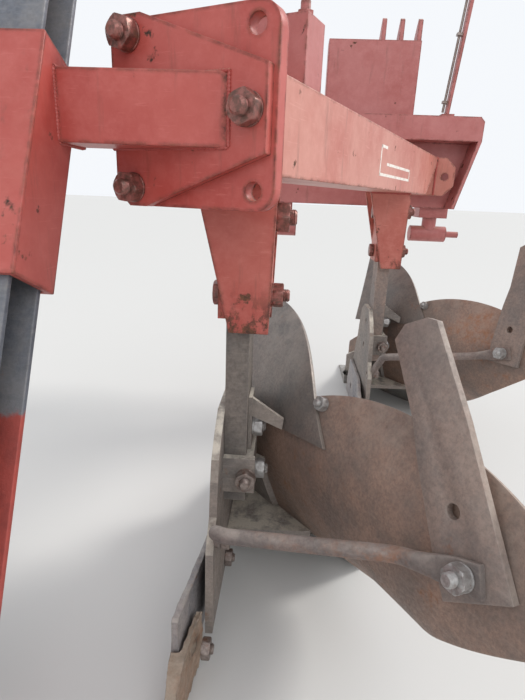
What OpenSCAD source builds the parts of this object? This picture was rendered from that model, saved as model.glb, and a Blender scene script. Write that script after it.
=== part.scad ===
// Two-furrow mounted mouldboard plough, parked on its bodies and its depth wheel.
// X is to the right, Y is the way of travel, Z is up; millimetres.

/* [Layout] */
// Lateral step from one furrow to the next
furrow_w = 355; // [320:5:380]
// Step along the travel between the two bodies
body_pitch = 800; // [760:10:860]
// Height of the main beam's middle over the ground
beam_z = 792; // [780:1:800]

/* [Main beam] */
// Outer width and height of the square beam
beam_w = 120; // [110:1:130]
// Wall of the beam
beam_wall = 8; // [5:0.5:12]
// How far the beam's axis lies to the right of the shanks
beam_shift = 23; // [15:1:30]
// Length of the beam behind the rear shank
beam_back = 119; // [110:1:130]
// Length of the beam ahead of the rear shank
beam_front = 1138; // [1130:1:1150]
// Length of the slanted cut under the beam's front end
mitre_len = 146; // [100:1:170]
// Height of the lip left over the slanted cut
mitre_lip = 14; // [10:1:30]
// Thickness of the plate that closes the slanted cut
mitre_t = 8; // [5:1:12]
// Thickness of the eight-sided plate at the beam's front end
front_plate_t = 20; // [12:1:25]
// How far that plate reaches to the right of the beam's axis
front_plate_right = 119; // [100:1:125]
// Height of that plate
front_plate_h = 120; // [100:1:125]
// Cut corner of that plate
front_plate_cut = 30; // [15:1:40]
// Diameter of the free hole in that plate
front_hole_d = 24; // [16:1:30]

/* [Rear flange and arm] */
// Thickness of the flange welded to the beam
flange_t = 20; // [15:1:25]
// Width of the flange
flange_w = 222; // [214:1:232]
// Height of the flange
flange_h = 215; // [210:1:225]
// Middle of the flange, measured to the right of the beam's axis
flange_mid = -19; // [-24:1:-15]
// Flange's middle above the beam's middle
flange_rise = 5; // [0:1:8]
// Corner radius of the flange
flange_r = 26; // [15:1:35]
// Thickness of the arm's plate
arm_plate_t = 14; // [10:1:18]
// Height of the arm's plate at its narrow end
arm_plate_tip = 90; // [80:1:110]
// Width of the plate's full-height part
arm_plate_full = 46; // [40:1:60]
// Spacing of the flange bolts across the flange
bolt_dx = 166; // [160:1:172]
// Spacing of the flange bolts up and down
bolt_dz = 170; // [160:1:176]
// Diameter of the flange bolts
bolt_d = 20; // [16:1:24]
// Hole clearance on a bolt's diameter
hole_gap = 2; // [1:0.5:3]
// Height of the arm that carries the wheel
arm_h = 78; // [66:1:84]
// Depth of the arm along the travel
arm_d = 70; // [60:1:72]
// Wall of the arm
arm_wall = 8; // [5:1:10]
// Arm's rear face behind the rear shank
arm_back = 155; // [152:1:158]
// How far the arm is drawn past the rear shank before it is cut on the plate
arm_end = 60; // [40:1:80]

/* [Depth wheel post] */
// Lean of the post, its foot to the rear
rake = 25; // [20:1:28]
// Right face of the sleeve, to the left of the rear shank
sleeve_x = 200; // [195:1:215]
// Width of the sleeve across the travel
sleeve_w = 116; // [110:1:130]
// Depth of the sleeve
sleeve_d = 88; // [84:1:96]
// Length of the sleeve
sleeve_l = 268; // [240:1:290]
// Plate of the sleeve
sleeve_t = 9; // [6:1:12]
// Sleeve's middle behind the rear shank
sleeve_y = -183; // [-186:1:-180]
// Sleeve's middle over the ground
sleeve_z = 728; // [720:1:736]
// Slide gap between post and sleeve
slide_gap = 1.5; // [1:0.5:3]
// Plate of the channel-shaped post
post_t = 8; // [6:1:9]
// Post's length above the sleeve's middle
post_up = 372; // [350:1:400]
// Outer diameter of the lifting screw
screw_d = 30; // [24:1:32]
// Pitch of the screw's thread
screw_pitch = 7; // [6:1:9]
// Depth of the screw's thread
screw_depth = 2.5; // [1.5:0.5:3]
// Height of the nut fixed in the sleeve
screw_nut_h = 46; // [36:1:60]
// Running gap round the screw in its nut
screw_gap = 0.6; // [0.3:0.1:1]
// Reach of the crank on the screw
crank_reach = 150; // [120:5:180]
// Diameter of the crank's rod
crank_d = 18; // [14:1:22]

/* [Depth wheel] */
// Radius of the tyre
tyre_r = 250; // [240:1:255]
// Width of the tyre
tyre_w = 130; // [110:1:150]
// Radius of the rim under the tyre
rim_r = 150; // [140:1:160]
// Plate of the rim
rim_t = 5; // [4:1:8]
// Gap between the tyre's side and the arm that carries it
wheel_gap = 22; // [15:1:30]
// Radius of the wheel's hub
hub_r = 42; // [38:1:50]
// Radius of the axle
axle_r = 17.5; // [15:0.5:20]
// Running gap of hub on axle
axle_gap = 0.05; // [0.02:0.01:0.09]
// Length of the axle beyond the wheel
axle_tip = 16; // [12:1:24]
// Thickness of the arm that carries the axle
fork_t = 20; // [16:1:24]
// Width of that arm
fork_w = 64; // [56:1:70]
// Length of that arm above the axle
fork_up = 210; // [190:1:220]

/* [Leg and shank] */
// Width of the leg at the beam, left of the shank's middle
leg_left = 64; // [56:1:68]
// Width of the leg at the beam, right of the shank's middle
leg_right = 52; // [48:1:56]
// Leg's left edge at its foot
leg_foot_left = 12; // [4:1:16]
// Leg's right edge at its foot
leg_foot_right = 46; // [46:1:50]
// Length of the leg under the beam
leg_l = 218; // [200:1:230]
// Depth of the leg along the travel
leg_d = 120; // [110:1:126]
// Plate of the leg
leg_t = 12; // [8:1:14]
// Thickness of the steel shank
shank_w = 36; // [30:1:40]
// Depth of the shank along the travel
shank_d = 80; // [70:1:90]
// Foot of the shank over the ground
shank_z = 215; // [200:1:230]
// Height of the pivot bolt over the ground
pivot_z = 679; // [670:1:690]
// Height of the shear bolt over the ground
shear_z = 562; // [550:1:575]
// Diameter of the pivot bolt
pivot_d = 24; // [20:1:27]
// Diameter of the shear bolt
shear_d = 20; // [12:1:22]

/* [Mouldboard] */
// Reach of the mouldboard's hollow ahead of the shank
board_d = 76; // [72:1:84]
// Curvature of the mouldboard up and down, in 1/mm
board_k = 0.0021; // [0.0018:0.0001:0.0023]
// Height of the hollow's deepest line
board_zm = 300; // [290:1:310]
// Angle of the upper board to the travel
board_yaw = 31; // [29:0.5:33]
// Angle of the board's foot and of the share to the travel
share_yaw = 42; // [40:0.5:44]
// Where along the travel the board's lines are counted from
board_y = 20; // [15:1:25]
// Thickness of the mouldboard
board_t = 8; // [6:1:9]
// Height of the joint between share and mouldboard
joint_z = 88; // [84:1:96]
// Highest point of the mouldboard
board_top = 446; // [438:1:456]
// Length of the mouldboard behind the shank's line
board_l = 500; // [460:5:520]
// Rise of the mouldboard's lower edge to its tail
board_rise = 219; // [190:1:230]
// Left edge of the mouldboard at its top, left of the shank's middle
shin_x = 20; // [12:1:24]
// How much further left that edge stands at the board's foot
shin_step = 18; // [10:1:20]
// Left face of the landside's front, left of the shank's middle
land_x = 44; // [42:1:48]
// Where along its length the mouldboard is highest
board_crown = 240; // [200:5:280]

/* [Share and frog] */
// Thickness of the share
share_t = 12; // [9:1:14]
// Angle of the share to the ground
share_tilt = 35; // [33:1:38]
// Height of the share's cutting edge
edge_z = 4; // [3:1:8]
// How far the share's wing reaches to the right along its edge
wing_l = 8; // [0:1:20]
// Length of the point ahead of the share
point_l = 70; // [50:1:80]
// Side plate of the frog
frog_t = 12; // [10:1:12]
// Rough base of the frog
frog_base_t = 12; // [10:1:16]
// Height of the frog's side plate over the ground
frog_top = 380; // [370:1:388]
// Upper frog bolt over the ground
frog_bolt_hi = 337; // [330:1:345]
// Lower frog bolt over the ground
frog_bolt_lo = 256; // [250:1:262]
// Diameter of the frog bolts
frog_bolt_d = 18; // [14:1:20]

/* [Landside and heel] */
// Thickness of the landside bar
landside_t = 14; // [12:1:16]
// Height of the landside bar
landside_h = 147; // [130:1:156]
// Rear end of the landside bar behind the shank
landside_back = 228; // [210:1:240]
// How far the landside's rear end stands out to the left
landside_toe = 22; // [10:1:26]
// Thickness of the heel piece
heel_t = 16; // [12:1:18]
// Rear end of the heel piece behind the shank
heel_back = 310; // [290:1:325]
// Height of the heel piece
heel_h = 100; // [88:1:108]
// Diameter of the heel bolt
heel_bolt_d = 16; // [12:1:18]

/* [Trashboard and tail plate] */
// Thickness of the trashboard
trash_t = 6; // [4:0.5:8]
// Gap between boards that lie on each other
lay_gap = 0.3; // [0.1:0.1:0.6]
// Highest point of the trashboard
trash_top = 508; // [500:1:516]
// Reach of the trashboard's tip behind the shank's line
trash_tip = 128; // [110:1:140]
// Width of the tail plate at its foot
tail_w = 86; // [78:1:92]
// Width of the tail plate at its head
tail_head_w = 68; // [60:1:74]
// Thickness of the tail plate
tail_t = 10; // [8:1:12]
// Length of the tail plate above its bolt
tail_up = 281; // [262:1:290]
// Length of the tail plate below its bolt
tail_down = 26; // [20:1:34]
// Lean of the rear body's tail plate
tail_lean_rear = 37; // [30:1:40]
// Lean of the front body's tail plate
tail_lean_front = 4; // [0:1:10]
// Diameter of the free hole in the tail plate
tail_hole_d = 17; // [12:1:20]
// Distance of the free hole above the bolt
tail_hole_up = 62; // [50:1:80]
// Diameter of the board bolts
board_bolt_d = 12; // [10:1:14]
// Diameter of the tail bolt
tail_bolt_d = 16; // [12:1:18]

/* [Brace rod] */
// Diameter of the brace rod
rod_d = 20; // [16:1:22]
// Thickness of the rod's flattened ends
rod_flat_t = 9; // [7:1:10]
// Width of the rod's flattened ends
rod_flat_w = 32; // [26:1:36]
// Length of the flattened end on the tail bolt
rod_flat_l = 42; // [36:1:50]
// Height of the rod's foot bolt over the ground
rod_z = 198; // [190:1:206]
// Rod's foot bolt behind the shank's middle
rod_y = -118; // [-122:1:-112]

/* [Headstock] */
// Middle of the headstock from the rear shank
hitch_x = 295; // [285:1:305]
// Distance between the shoulders of the lower link pins
link_span = 683; // [683:1:683]
// Diameter of the lower link pins
link_pin_d = 22; // [22:1:22]
// Free length of a lower link pin
link_pin_l = 48; // [44:1:60]
// Height of the lower link pins over the ground
link_z = 598; // [580:1:606]
// Rear face of the headstock from the rear shank
head_y = 1090; // [1080:1:1100]
// Top of the headstock's frame over the ground
head_top = 978; // [965:1:990]
// Height of the frame's top member
head_bar_h = 74; // [65:1:85]
// Depth of the frame's flanges
head_flange_d = 80; // [60:1:84]
// Plate of the headstock
head_t = 12; // [8:1:14]
// Half width of the headstock's top
head_half = 377; // [360:1:390]
// Half width of the headstock's foot
head_foot_half = 320; // [310:1:335]
// Foot of the headstock's legs over the ground
head_foot_z = 690; // [680:1:700]
// Section of the cross tube
cross_w = 100; // [90:1:110]
// Middle of the cross tube over the ground
cross_z = 792; // [780:1:800]
// Width of the tower panel
tower_w = 300; // [280:1:320]
// Height of the tower panel
tower_h = 232; // [210:1:250]
// Middle of the tower panel from the rear shank
tower_x = 308; // [300:1:316]
// Thickness of the tower panel
tower_t = 10; // [8:1:12]
// Thickness of a top link ear
ear_t = 14; // [10:1:16]
// Clear gap between two ears
ear_gap = 44; // [40:1:52]
// Middle ear from the rear shank
ear_x = 392; // [386:1:396]
// Height of the ears' tips over the panel's top edge
ear_tip = 66; // [40:1:90]
// Depth of the ears at their root
ear_d = 90; // [80:1:110]
// Diameter of the top link holes
top_pin_d = 25.5; // [19.5:0.5:26]
// Height of the lower top link hole over the lower link pins
mast_h = 460; // [460:1:460]
// Step up to the second top link hole
top_hole_step = 80; // [60:1:100]

/* [Hand lever] */
// Foot of the lever to the right of the headstock's middle
lever_x = 261; // [250:1:275]
// Lean of the lever to the right
lever_lean = 5; // [3:1:8]
// Length of the lever
lever_l = 470; // [430:5:500]
// Width of the lever bar
lever_w = 26; // [20:1:32]
// Thickness of the lever bar
lever_t = 10; // [8:1:12]
// Diameter of the latch rod
latch_d = 8; // [6:1:10]

/* [Hidden] */
$fn = 48;
paint = [0.72, 0.13, 0.10];
steel = [0.42, 0.35, 0.31];
bare = [0.52, 0.50, 0.48];
black = [0.10, 0.10, 0.10];
e = 1;
beam_yaw = atan(furrow_w / body_pitch);
beam_under = beam_z - beam_w / 2;
// roundness of the mouldboard's tail
tail_round = 18;
// tail plate's bolt on the board
tail_z = 345;
tail_l = board_l - 102;
// lifting screw in the post
screw_y = -5;
screw_foot = -sleeve_l / 2 - 190;
// slanted cut of the beam
mitre_angle = atan((beam_w - mitre_lip) / mitre_len);
// bracket on the beam's top
bracket_w = 104;
bracket_h = 90;
bracket_t = 9;
bracket_d = 62;
// how a link pin hangs from the cross tube: block, post and cross bar
pin_rise = 58;
pin_block_in = 112;
pin_block_w = 100;
pin_block_d = 88;
pin_post_in = 62;
pin_post_d = 50;
pin_bar_l = 130;
pin_bar_d = 56;
// top link ears
ear_y = head_y + tower_t;
ear_step = ear_t + ear_gap;
frog_x = -shank_w / 2 - frog_t;
board_holes = [[402, 80, board_bolt_d], [tail_z, tail_l, tail_bolt_d]];
bolt_spots = [[-1, 1], [-1, -1], [1, 0]];
free_spots = [[1, 1], [1, -1]];
// landside bolts along the travel, their height, and the heel's bolt
land_bolts = [0, 120];
land_bolt_z = 62;
heel_bolt_y = -landside_back + 34;
// underside of the frog's level base plate
base_z = joint_z + 8;
// left end of the flat strip that stays the trashboard
stay_z = 384;
// sleeve, post and wheel
post_w = sleeve_w - 2 * (sleeve_t + slide_gap);
post_d = sleeve_d - 2 * (sleeve_t + slide_gap);
post_x = -sleeve_x - sleeve_w / 2;
axle_down = (sleeve_z - tyre_r) / cos(rake);
wheel_x = post_x - post_w / 2 - fork_t - wheel_gap - tyre_w / 2;
axle_y = sleeve_y - axle_down * sin(rake);
// share line
share_run = (joint_z - edge_z) / tan(share_tilt);
share_dir = [sin(share_yaw), -cos(share_yaw)];
share_n = [cos(share_yaw), sin(share_yaw)];
wing = [for (k = [0:1]) board_pt(joint_z, wing_l, 0)[k] + share_run * share_n[k]];
tip_y = wing[1] + (wing[0] + land_x) * share_dir[1] / -share_dir[0];
// the whole part's middle on the ground
left_x = wheel_x - tyre_w / 2 - axle_tip;
right_x = furrow_w + max([for (v = [0:0.1:1]) let (q = tail_end(v)) board_pt(q[0], q[1], 0)[0]]);
rear_y = axle_y - tyre_r;
front_y = body_pitch + tip_y + point_l;
mid = [(left_x + right_x) / 2, (rear_y + front_y) / 2, 0];

// Frames of reference
module place() translate(-mid) children();
// x to the right of the beam, y along it
module on_beam() translate([beam_shift, 0, 0]) rotate([0, 0, -beam_yaw]) children();
module at_body(i) translate([i * furrow_w, i * body_pitch, 0]) children();
// z along the raked post, origin at the sleeve's middle
module on_post() translate([post_x, sleeve_y, sleeve_z]) rotate([-rake, 0, 0]) children();
// an outline drawn in Y and Z, drawn out along +X
module yz(h) rotate([90, 0, 90]) linear_extrude(h) children();
// an outline drawn in X and Z, drawn out along +Y
module xz(h) translate([0, h, 0]) rotate([90, 0, 0]) linear_extrude(h) children();
module rounded(w, h, r) {
  square([w - 2 * r, h], center = true);
  square([w, h - 2 * r], center = true);
  for (x = [-1, 1], y = [-1, 1]) translate([x * (w / 2 - r), y * (h / 2 - r)]) circle(r);
}
// hex bolt along +z: head below 0, grip, washer and nut above, pin end proud
module hex_bolt(d, grip, tail = 0.5, head = true) {
  if (head) translate([0, 0, -0.65 * d]) cylinder(d = 1.7 * d, h = 0.65 * d, $fn = 6);
  cylinder(d = d, h = grip + (0.95 + tail) * d);
  translate([0, 0, grip]) cylinder(d = 1.83 * d, h = 0.15 * d);
  translate([0, 0, grip + 0.15 * d]) cylinder(d = 1.7 * d, h = 0.8 * d, $fn = 6);
}

// The mouldboard's surface
// Level straight lines make the surface; they swing from the share's angle to the
// board's angle as they rise, and their reach follows a parabola up and down.
function ease(a, b, x) = let (t = min(1, max(0, (x - a) / (b - a)))) t * t * (3 - 2 * t);
function line_yaw(z) = share_yaw + (board_yaw - share_yaw) * ease(joint_z - 8, joint_z + 142, z);
function board_x(z) =
  (board_d + board_k * pow(z - board_zm, 2) - board_y * sin(board_yaw)) / cos(board_yaw);
function board_n(z) = let (a = line_yaw(z), v = [cos(a), sin(a), -2 * board_k * (z - board_zm)])
  v / norm(v);
// point at height z, l along the line, o behind the working face
function board_pt(z, l, o) = let (a = line_yaw(z))
  [board_x(z) + l * sin(a), board_y - l * cos(a), z] - o * board_n(z);
// x and y of the point that is level with z and lies o behind the working face
function level_pt(z, l, o) = let (n = board_n(z), q = board_pt(z, l, o / (1 - n[2] * n[2])))
  [q[0], q[1]];
// the board's left edge, and where a line of the surface meets the plane x to the left
function shin_at(z) = shin_x + shin_step * ease(-(board_top - 26), -180, -z);
function shin_l(z, x) = (-x - board_x(z)) / sin(line_yaw(z));
function board_low(l) = joint_z + lay_gap + board_rise * pow(max(0, (l - 60) / (470 - 60)), 1.4);
function board_high(l) = board_top - 0.0009 * pow(l - board_crown, 2);
// height and length of the tail's edge, v from its foot to its top
function tail_end(v) = [board_low(board_l) + v * (board_high(board_l) - board_low(board_l)),
  board_l + tail_round * (1 - pow(2 * v - 1, 2))];

// grid point of the mouldboard, u from its left edge to its tail, v from its foot to its top
function board_at(u, v) = let (l = shin_l(joint_z + 60, shin_at(joint_z + 60)) * (1 - u) + board_l * u,
  z = board_low(l) + v * (board_high(l) - board_low(l)), s = shin_l(z, shin_at(z)))
  [z, s + u * (tail_end(v)[1] - s)];
// grid point of the trashboard between its left edge and its right tip
function trash_high(l) = trash_top - 159 * pow(max(0, l + 260) / 388, 2.1);
function trash_l(u, z) = -(196 + 0.0039 * pow(z - 330, 2)) * (1 - u) + trash_tip * u;
function trash_at(u, v) = let (z0 = 328 + 0.16 * (trash_l(u, 300) + 9),
  z1 = trash_high(trash_l(u, trash_high(trash_l(u, trash_top)))), z = z0 + v * (z1 - z0))
  [z, trash_l(u, z)];

// closed shell over a grid of (z, l) pairs, between depths o1 and o2
module shell(grid, o1, o2) {
  n = len(grid);
  m = len(grid[0]);
  front = [for (r = grid, q = r) board_pt(q[0], q[1], o1)];
  back = [for (r = grid, q = r) board_pt(q[0], q[1], o2)];
  s = n * m;
  rim = concat([for (j = [0:m - 1]) j], [for (i = [1:n - 1]) i * m + m - 1],
    [for (j = [m - 2:-1:0]) (n - 1) * m + j], [for (i = [n - 2:-1:1]) i * m]);
  k = len(rim);
  faces = concat(
    [for (i = [0:n - 2], j = [0:m - 2]) [i * m + j, (i + 1) * m + j, (i + 1) * m + j + 1]],
    [for (i = [0:n - 2], j = [0:m - 2]) [i * m + j, (i + 1) * m + j + 1, i * m + j + 1]],
    [for (i = [0:n - 2], j = [0:m - 2]) [s + i * m + j, s + (i + 1) * m + j + 1, s + (i + 1) * m + j]],
    [for (i = [0:n - 2], j = [0:m - 2]) [s + i * m + j, s + i * m + j + 1, s + (i + 1) * m + j + 1]],
    [for (i = [0:k - 1]) [rim[i], rim[(i + 1) % k], s + rim[(i + 1) % k]]],
    [for (i = [0:k - 1]) [rim[i], s + rim[(i + 1) % k], s + rim[i]]]);
  polyhedron(concat(front, back), faces, convexity = 6);
}
// a drill through the boards, square to the surface at (z, l)
module board_axis(z, l, o) {
  p = board_pt(z, l, o);
  n = board_n(z);
  translate(p) rotate([0, acos(n[2]), atan2(n[1], n[0])]) children();
}

// Beam
module main_beam() color(paint) place() on_beam() translate([0, 0, beam_z]) difference() {
  translate([-beam_w / 2, -beam_back, -beam_w / 2]) cube([beam_w, beam_back + beam_front, beam_w]);
  translate([-beam_w / 2 + beam_wall, -beam_back - e, -beam_w / 2 + beam_wall])
    cube([beam_w - 2 * beam_wall, beam_back + beam_front + 2 * e, beam_w - 2 * beam_wall]);
  translate([-beam_w / 2 - e, 0, 0]) yz(beam_w + 2 * e) polygon([
    [beam_front - mitre_len, -beam_w / 2], [beam_front, beam_w / 2 - mitre_lip],
    [beam_front + e, beam_w / 2 - mitre_lip], [beam_front + e, -beam_w / 2 - e],
    [beam_front - mitre_len - e, -beam_w / 2 - e]]);
}
module beam_front_plate() color(paint) place() on_beam() translate([0, 0, beam_z]) {
  w = front_plate_right;
  h = front_plate_h / 2;
  c = front_plate_cut;
  difference() {
    translate([0, beam_front, 0]) xz(front_plate_t) difference() {
      polygon([[-beam_w / 2, -h], [w - c, -h], [w, -h + c], [w, h - c], [w - c, h],
        [-beam_w / 2, h]]);
      translate([(beam_w / 2 + w) / 2, 0]) circle(d = front_hole_d);
    }
    head_cut();
  }
  // plate that closes the slanted cut
  translate([-beam_w / 2, 0, 0]) yz(beam_w) polygon([
    [beam_front - mitre_len, -beam_w / 2],
    [beam_front - mitre_len + mitre_t / sin(mitre_angle), -beam_w / 2],
    [beam_front, beam_w / 2 - mitre_lip - mitre_t / cos(mitre_angle)],
    [beam_front, beam_w / 2 - mitre_lip]]);
  // short stub on to the headstock
  difference() {
    translate([-beam_w / 2 + beam_wall, beam_front + front_plate_t, -beam_w / 2 + beam_wall])
      cube([beam_w - 2 * beam_wall, 120, beam_w - 2 * beam_wall]);
    translate([-beam_w / 2 + 2 * beam_wall, beam_front + front_plate_t - e,
      -beam_w / 2 + 2 * beam_wall])
      cube([beam_w - 4 * beam_wall, 120 + 2 * e, beam_w - 4 * beam_wall]);
    head_cut();
  }
}
// everything ahead of the headstock's rear face, seen from the beam
module head_cut() translate([0, 0, -beam_z]) rotate([0, 0, beam_yaw])
  translate([-beam_shift - 1000, head_y, 0]) cube([2000, 1000, 2000]);

module flange_holes(xs, d = bolt_d + hole_gap)
  for (p = xs) translate([p[0] * bolt_dx / 2, p[1] * bolt_dz / 2]) circle(d = d);
module on_flange(y) on_beam() translate([flange_mid, -beam_back - y, beam_z + flange_rise])
  children();

module rear_flange() color(paint) place() on_flange(flange_t) xz(flange_t) difference() {
  rounded(flange_w, flange_h, flange_r);
  flange_holes(concat(bolt_spots, free_spots));
}
module arm_plate() color(paint) place() on_flange(flange_t + arm_plate_t) xz(arm_plate_t)
  difference() {
    w = flange_w / 2;
    h = flange_h / 2;
    polygon([[-w, -h + 20], [-w + 20, -h], [-w + arm_plate_full, -h], [w - 6, -arm_plate_tip / 2],
      [w - 6, arm_plate_tip / 2], [-w + arm_plate_full, h], [-w + 20, h], [-w, h - 20]]);
    flange_holes(bolt_spots);
  }
module flange_bolts() color(bare) place() on_flange(0) for (p = bolt_spots)
  translate([p[0] * bolt_dx / 2, 0, p[1] * bolt_dz / 2]) rotate([90, 0, 0])
    hex_bolt(bolt_d, flange_t + arm_plate_t, head = p[0] < 0);

// Arm to the depth wheel, its right end cut on the skewed plate
module wheel_arm() color(paint) place() difference() {
  translate([-sleeve_x, -arm_back, beam_z + flange_rise - arm_h / 2])
    cube([sleeve_x + arm_end, arm_d, arm_h]);
  translate([-sleeve_x - e, -arm_back + arm_wall, beam_z + flange_rise - arm_h / 2 + arm_wall])
    cube([sleeve_x + arm_end + 2 * e, arm_d - 2 * arm_wall, arm_h - 2 * arm_wall]);
  on_beam() translate([-600, -beam_back - flange_t - arm_plate_t, 0]) cube([1200, 400, 2000]);
}

// Raked sleeve, post and screw
module channel(w, d, t) difference() {
  translate([-w / 2, -d / 2]) square([w, d]);
  translate([-w / 2 + t, -d / 2 - e]) square([w - 2 * t, d - t + e]);
}
module wheel_sleeve() color(paint) place() on_post() difference() {
  union() {
    translate([0, 0, -sleeve_l / 2]) linear_extrude(sleeve_l) difference() {
      square([sleeve_w, sleeve_d], center = true);
      square([sleeve_w - 2 * sleeve_t, sleeve_d - 2 * sleeve_t], center = true);
    }
    // nut block that reaches into the post's channel
    translate([0, 0, sleeve_l / 2 - screw_nut_h]) linear_extrude(screw_nut_h)
      polygon([[-24, -sleeve_d / 2 + sleeve_t], [24, -sleeve_d / 2 + sleeve_t],
        [24, screw_y + 22], [-24, screw_y + 22]]);
  }
  translate([0, screw_y, 0]) cylinder(d = screw_d + 2 * screw_gap, h = sleeve_l);
}
module wheel_post() color(bare) place() on_post() {
  translate([0, 0, -axle_down - 20]) linear_extrude(post_up + axle_down + 20)
    channel(post_w, post_d, post_t);
  // head plate that the screw hangs in
  translate([0, 0, post_up]) linear_extrude(12) difference() {
    square([post_w, post_d], center = true);
    translate([0, screw_y]) circle(d = screw_d - 2 * screw_depth + 0.4);
  }
}
module lifting_screw() color(bare) place() on_post() translate([0, screw_y, 0]) {
  n = floor((post_up - screw_foot - 60) / screw_pitch);
  core = screw_d / 2 - screw_depth;
  // ribs of the thread as one turned outline
  translate([0, 0, screw_foot]) rotate_extrude() polygon(concat([[0, 0]],
    [for (i = [0:n - 1], q = [[core, 0], [core, 0.3], [screw_d / 2, 0.4], [screw_d / 2, 0.9]])
      [q[0], (i + q[1]) * screw_pitch]],
    [[core, n * screw_pitch], [core, post_up - screw_foot], [0, post_up - screw_foot]]));
  translate([0, 0, post_up]) cylinder(r = core, h = 60);
}
module screw_crank() color(paint) place() on_post() translate([0, screw_y, post_up + 60]) {
  translate([0, 0, -30]) difference() {
    cylinder(d = 38, h = 30);
    translate([0, 0, -e]) cylinder(d = screw_d - 2 * screw_depth + 0.2, h = 30 + 2 * e);
  }
  cylinder(d = 38, h = crank_d + 4);
  translate([0, 0, crank_d / 2 + 2]) rotate([90, 0, 0]) cylinder(d = crank_d, h = crank_reach);
  translate([0, -crank_reach, 2 - crank_d / 2]) cylinder(d = crank_d + 8, h = 120);
}

// Depth wheel
module on_axle() on_post() translate([0, 0, -axle_down]) rotate([rake, 0, 0]) children();
module wheel_carrier() color(paint) place() {
  on_post() translate([-post_w / 2 - fork_t, 0, -axle_down]) yz(fork_t) {
    circle(fork_w / 2);
    translate([-fork_w / 2, 0]) square([fork_w, fork_up - fork_w / 2]);
    translate([0, fork_up - fork_w / 2]) circle(fork_w / 2);
  }
  on_axle() translate([-post_w / 2 - fork_t + 4, 0, 0]) rotate([0, -90, 0]) {
    cylinder(r = axle_r, h = wheel_gap + tyre_w + axle_tip + 4);
    cylinder(r = axle_r + 8, h = wheel_gap - 4);
    translate([0, 0, wheel_gap + tyre_w + 8]) cylinder(r = axle_r + 10, h = axle_tip - 8);
  }
}
module about_wheel() translate([wheel_x, axle_y, tyre_r]) rotate([0, 90, 0]) children();
module wheel_rim() color(paint) place() about_wheel() rotate_extrude($fn = 96) {
  hw = tyre_w / 2;
  r0 = axle_r + axle_gap;
  r1 = rim_r - rim_t;
  // hub bored for the axle, dished disc, and a well with two lips
  polygon([[r0, -hw + 2], [hub_r, -hw + 2], [hub_r, -12], [hub_r + 32, -12], [r1 - 20, 6],
    [r1, 6], [r1, -hw + 18], [rim_r + 14, -hw + 8], [rim_r + 14, -hw + 14], [rim_r, -hw + 24],
    [rim_r, hw - 24], [rim_r + 14, hw - 14], [rim_r + 14, hw - 8], [r1, hw - 18], [r1, 18],
    [r1 - 22, 18], [hub_r + 30, 0], [hub_r, 0], [hub_r, hw - 2], [r0, hw - 2]]);
}
module wheel_tyre() color(black) place() about_wheel() rotate_extrude($fn = 96) difference() {
  hw = tyre_w / 2;
  polygon([[rim_r + 0.5, -hw + 24.8], [rim_r + 0.5, hw - 24.8], [rim_r + 14.3, hw - 14.9],
    [rim_r + 14.6, hw - 7], [rim_r + 50, hw], [tyre_r - 26, hw - 4], [tyre_r - 6, hw - 14],
    [tyre_r, hw - 30], [tyre_r, -hw + 30], [tyre_r - 6, -hw + 14], [tyre_r - 26, -hw + 4],
    [rim_r + 50, -hw], [rim_r + 14.6, -hw + 7], [rim_r + 14.3, -hw + 14.9]]);
  // ribs' grooves
  for (x = [-1, 0, 1]) translate([tyre_r - 10, x * 20 - 4]) square([20, 8]);
}

// Bracket on the beam's top
module beam_bracket() color(paint) place() on_beam()
  translate([-bracket_w / 2, 20, beam_z + beam_w / 2]) {
    difference() {
      cube([bracket_w, bracket_d, bracket_h]);
      translate([bracket_t, bracket_t, -e])
        cube([bracket_w - 2 * bracket_t, bracket_d, bracket_h - bracket_t + e]);
    }
    for (x = [bracket_w / 2 - 16, bracket_w - 18]) translate([x, bracket_d / 2, bracket_h]) {
      cylinder(d = 24, h = 10, $fn = 6);
      cylinder(d = 14, h = 22);
    }
  }

// Headstock
module head_half_outline(half, foot, z0, z1) polygon([[-foot, z0], [foot, z0], [half, z1 - head_bar_h],
  [half, z1 - 14], [half - 14, z1], [-half + 14, z1], [-half, z1 - 14], [-half, z1 - head_bar_h]]);
module headstock_frame() color(paint) place() translate([hitch_x, head_y, 0]) difference() {
  union() {
    // web plate, open behind the top bar
    xz(head_t) difference() {
      head_half_outline(head_half, head_foot_half, head_foot_z, head_top);
      translate([-head_half + head_t, head_top - head_bar_h + head_t])
        square([2 * (head_half - head_t), head_bar_h - 2 * head_t]);
    }
    // flange round the outside, and the top bar's lower plate
    translate([0, -head_flange_d, 0]) xz(head_flange_d) difference() {
      head_half_outline(head_half, head_foot_half, head_foot_z, head_top);
      polygon([[-head_foot_half + head_t, head_foot_z - e], [head_foot_half - head_t, head_foot_z - e],
        [head_half - head_t, head_top - head_bar_h], [-head_half + head_t, head_top - head_bar_h]]);
      translate([-head_half + head_t, head_top - head_bar_h + head_t])
        square([2 * (head_half - head_t), head_bar_h - 2 * head_t]);
    }
    // closed back of the top bar
    translate([-head_half + head_t, -head_flange_d, head_top - head_bar_h])
      cube([2 * (head_half - head_t), head_t, head_bar_h]);
  }
  // opening between the legs, left of the beam
  translate([-head_foot_half + 70, -e, cross_z + cross_w / 2 + 8])
    cube([220, head_t + 2 * e, 40]);
}
module cross_tube() color(paint) place() translate([hitch_x, head_y + head_t, 0]) difference() {
  translate([-head_foot_half, 0, cross_z - cross_w / 2]) cube([2 * head_foot_half, cross_w, cross_w]);
  translate([-head_foot_half - e, 9, cross_z - cross_w / 2 + 9])
    cube([2 * head_foot_half + 2 * e, cross_w - 18, cross_w - 18]);
}
module tower_panel() color(paint) place() translate([tower_x, head_y, head_top]) {
  translate([-tower_w / 2, 0, 0]) cube([tower_w, tower_t, tower_h]);
  translate([-tower_w / 2, tower_t, 0]) cube([tower_t, 60, tower_h]);
}
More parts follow.
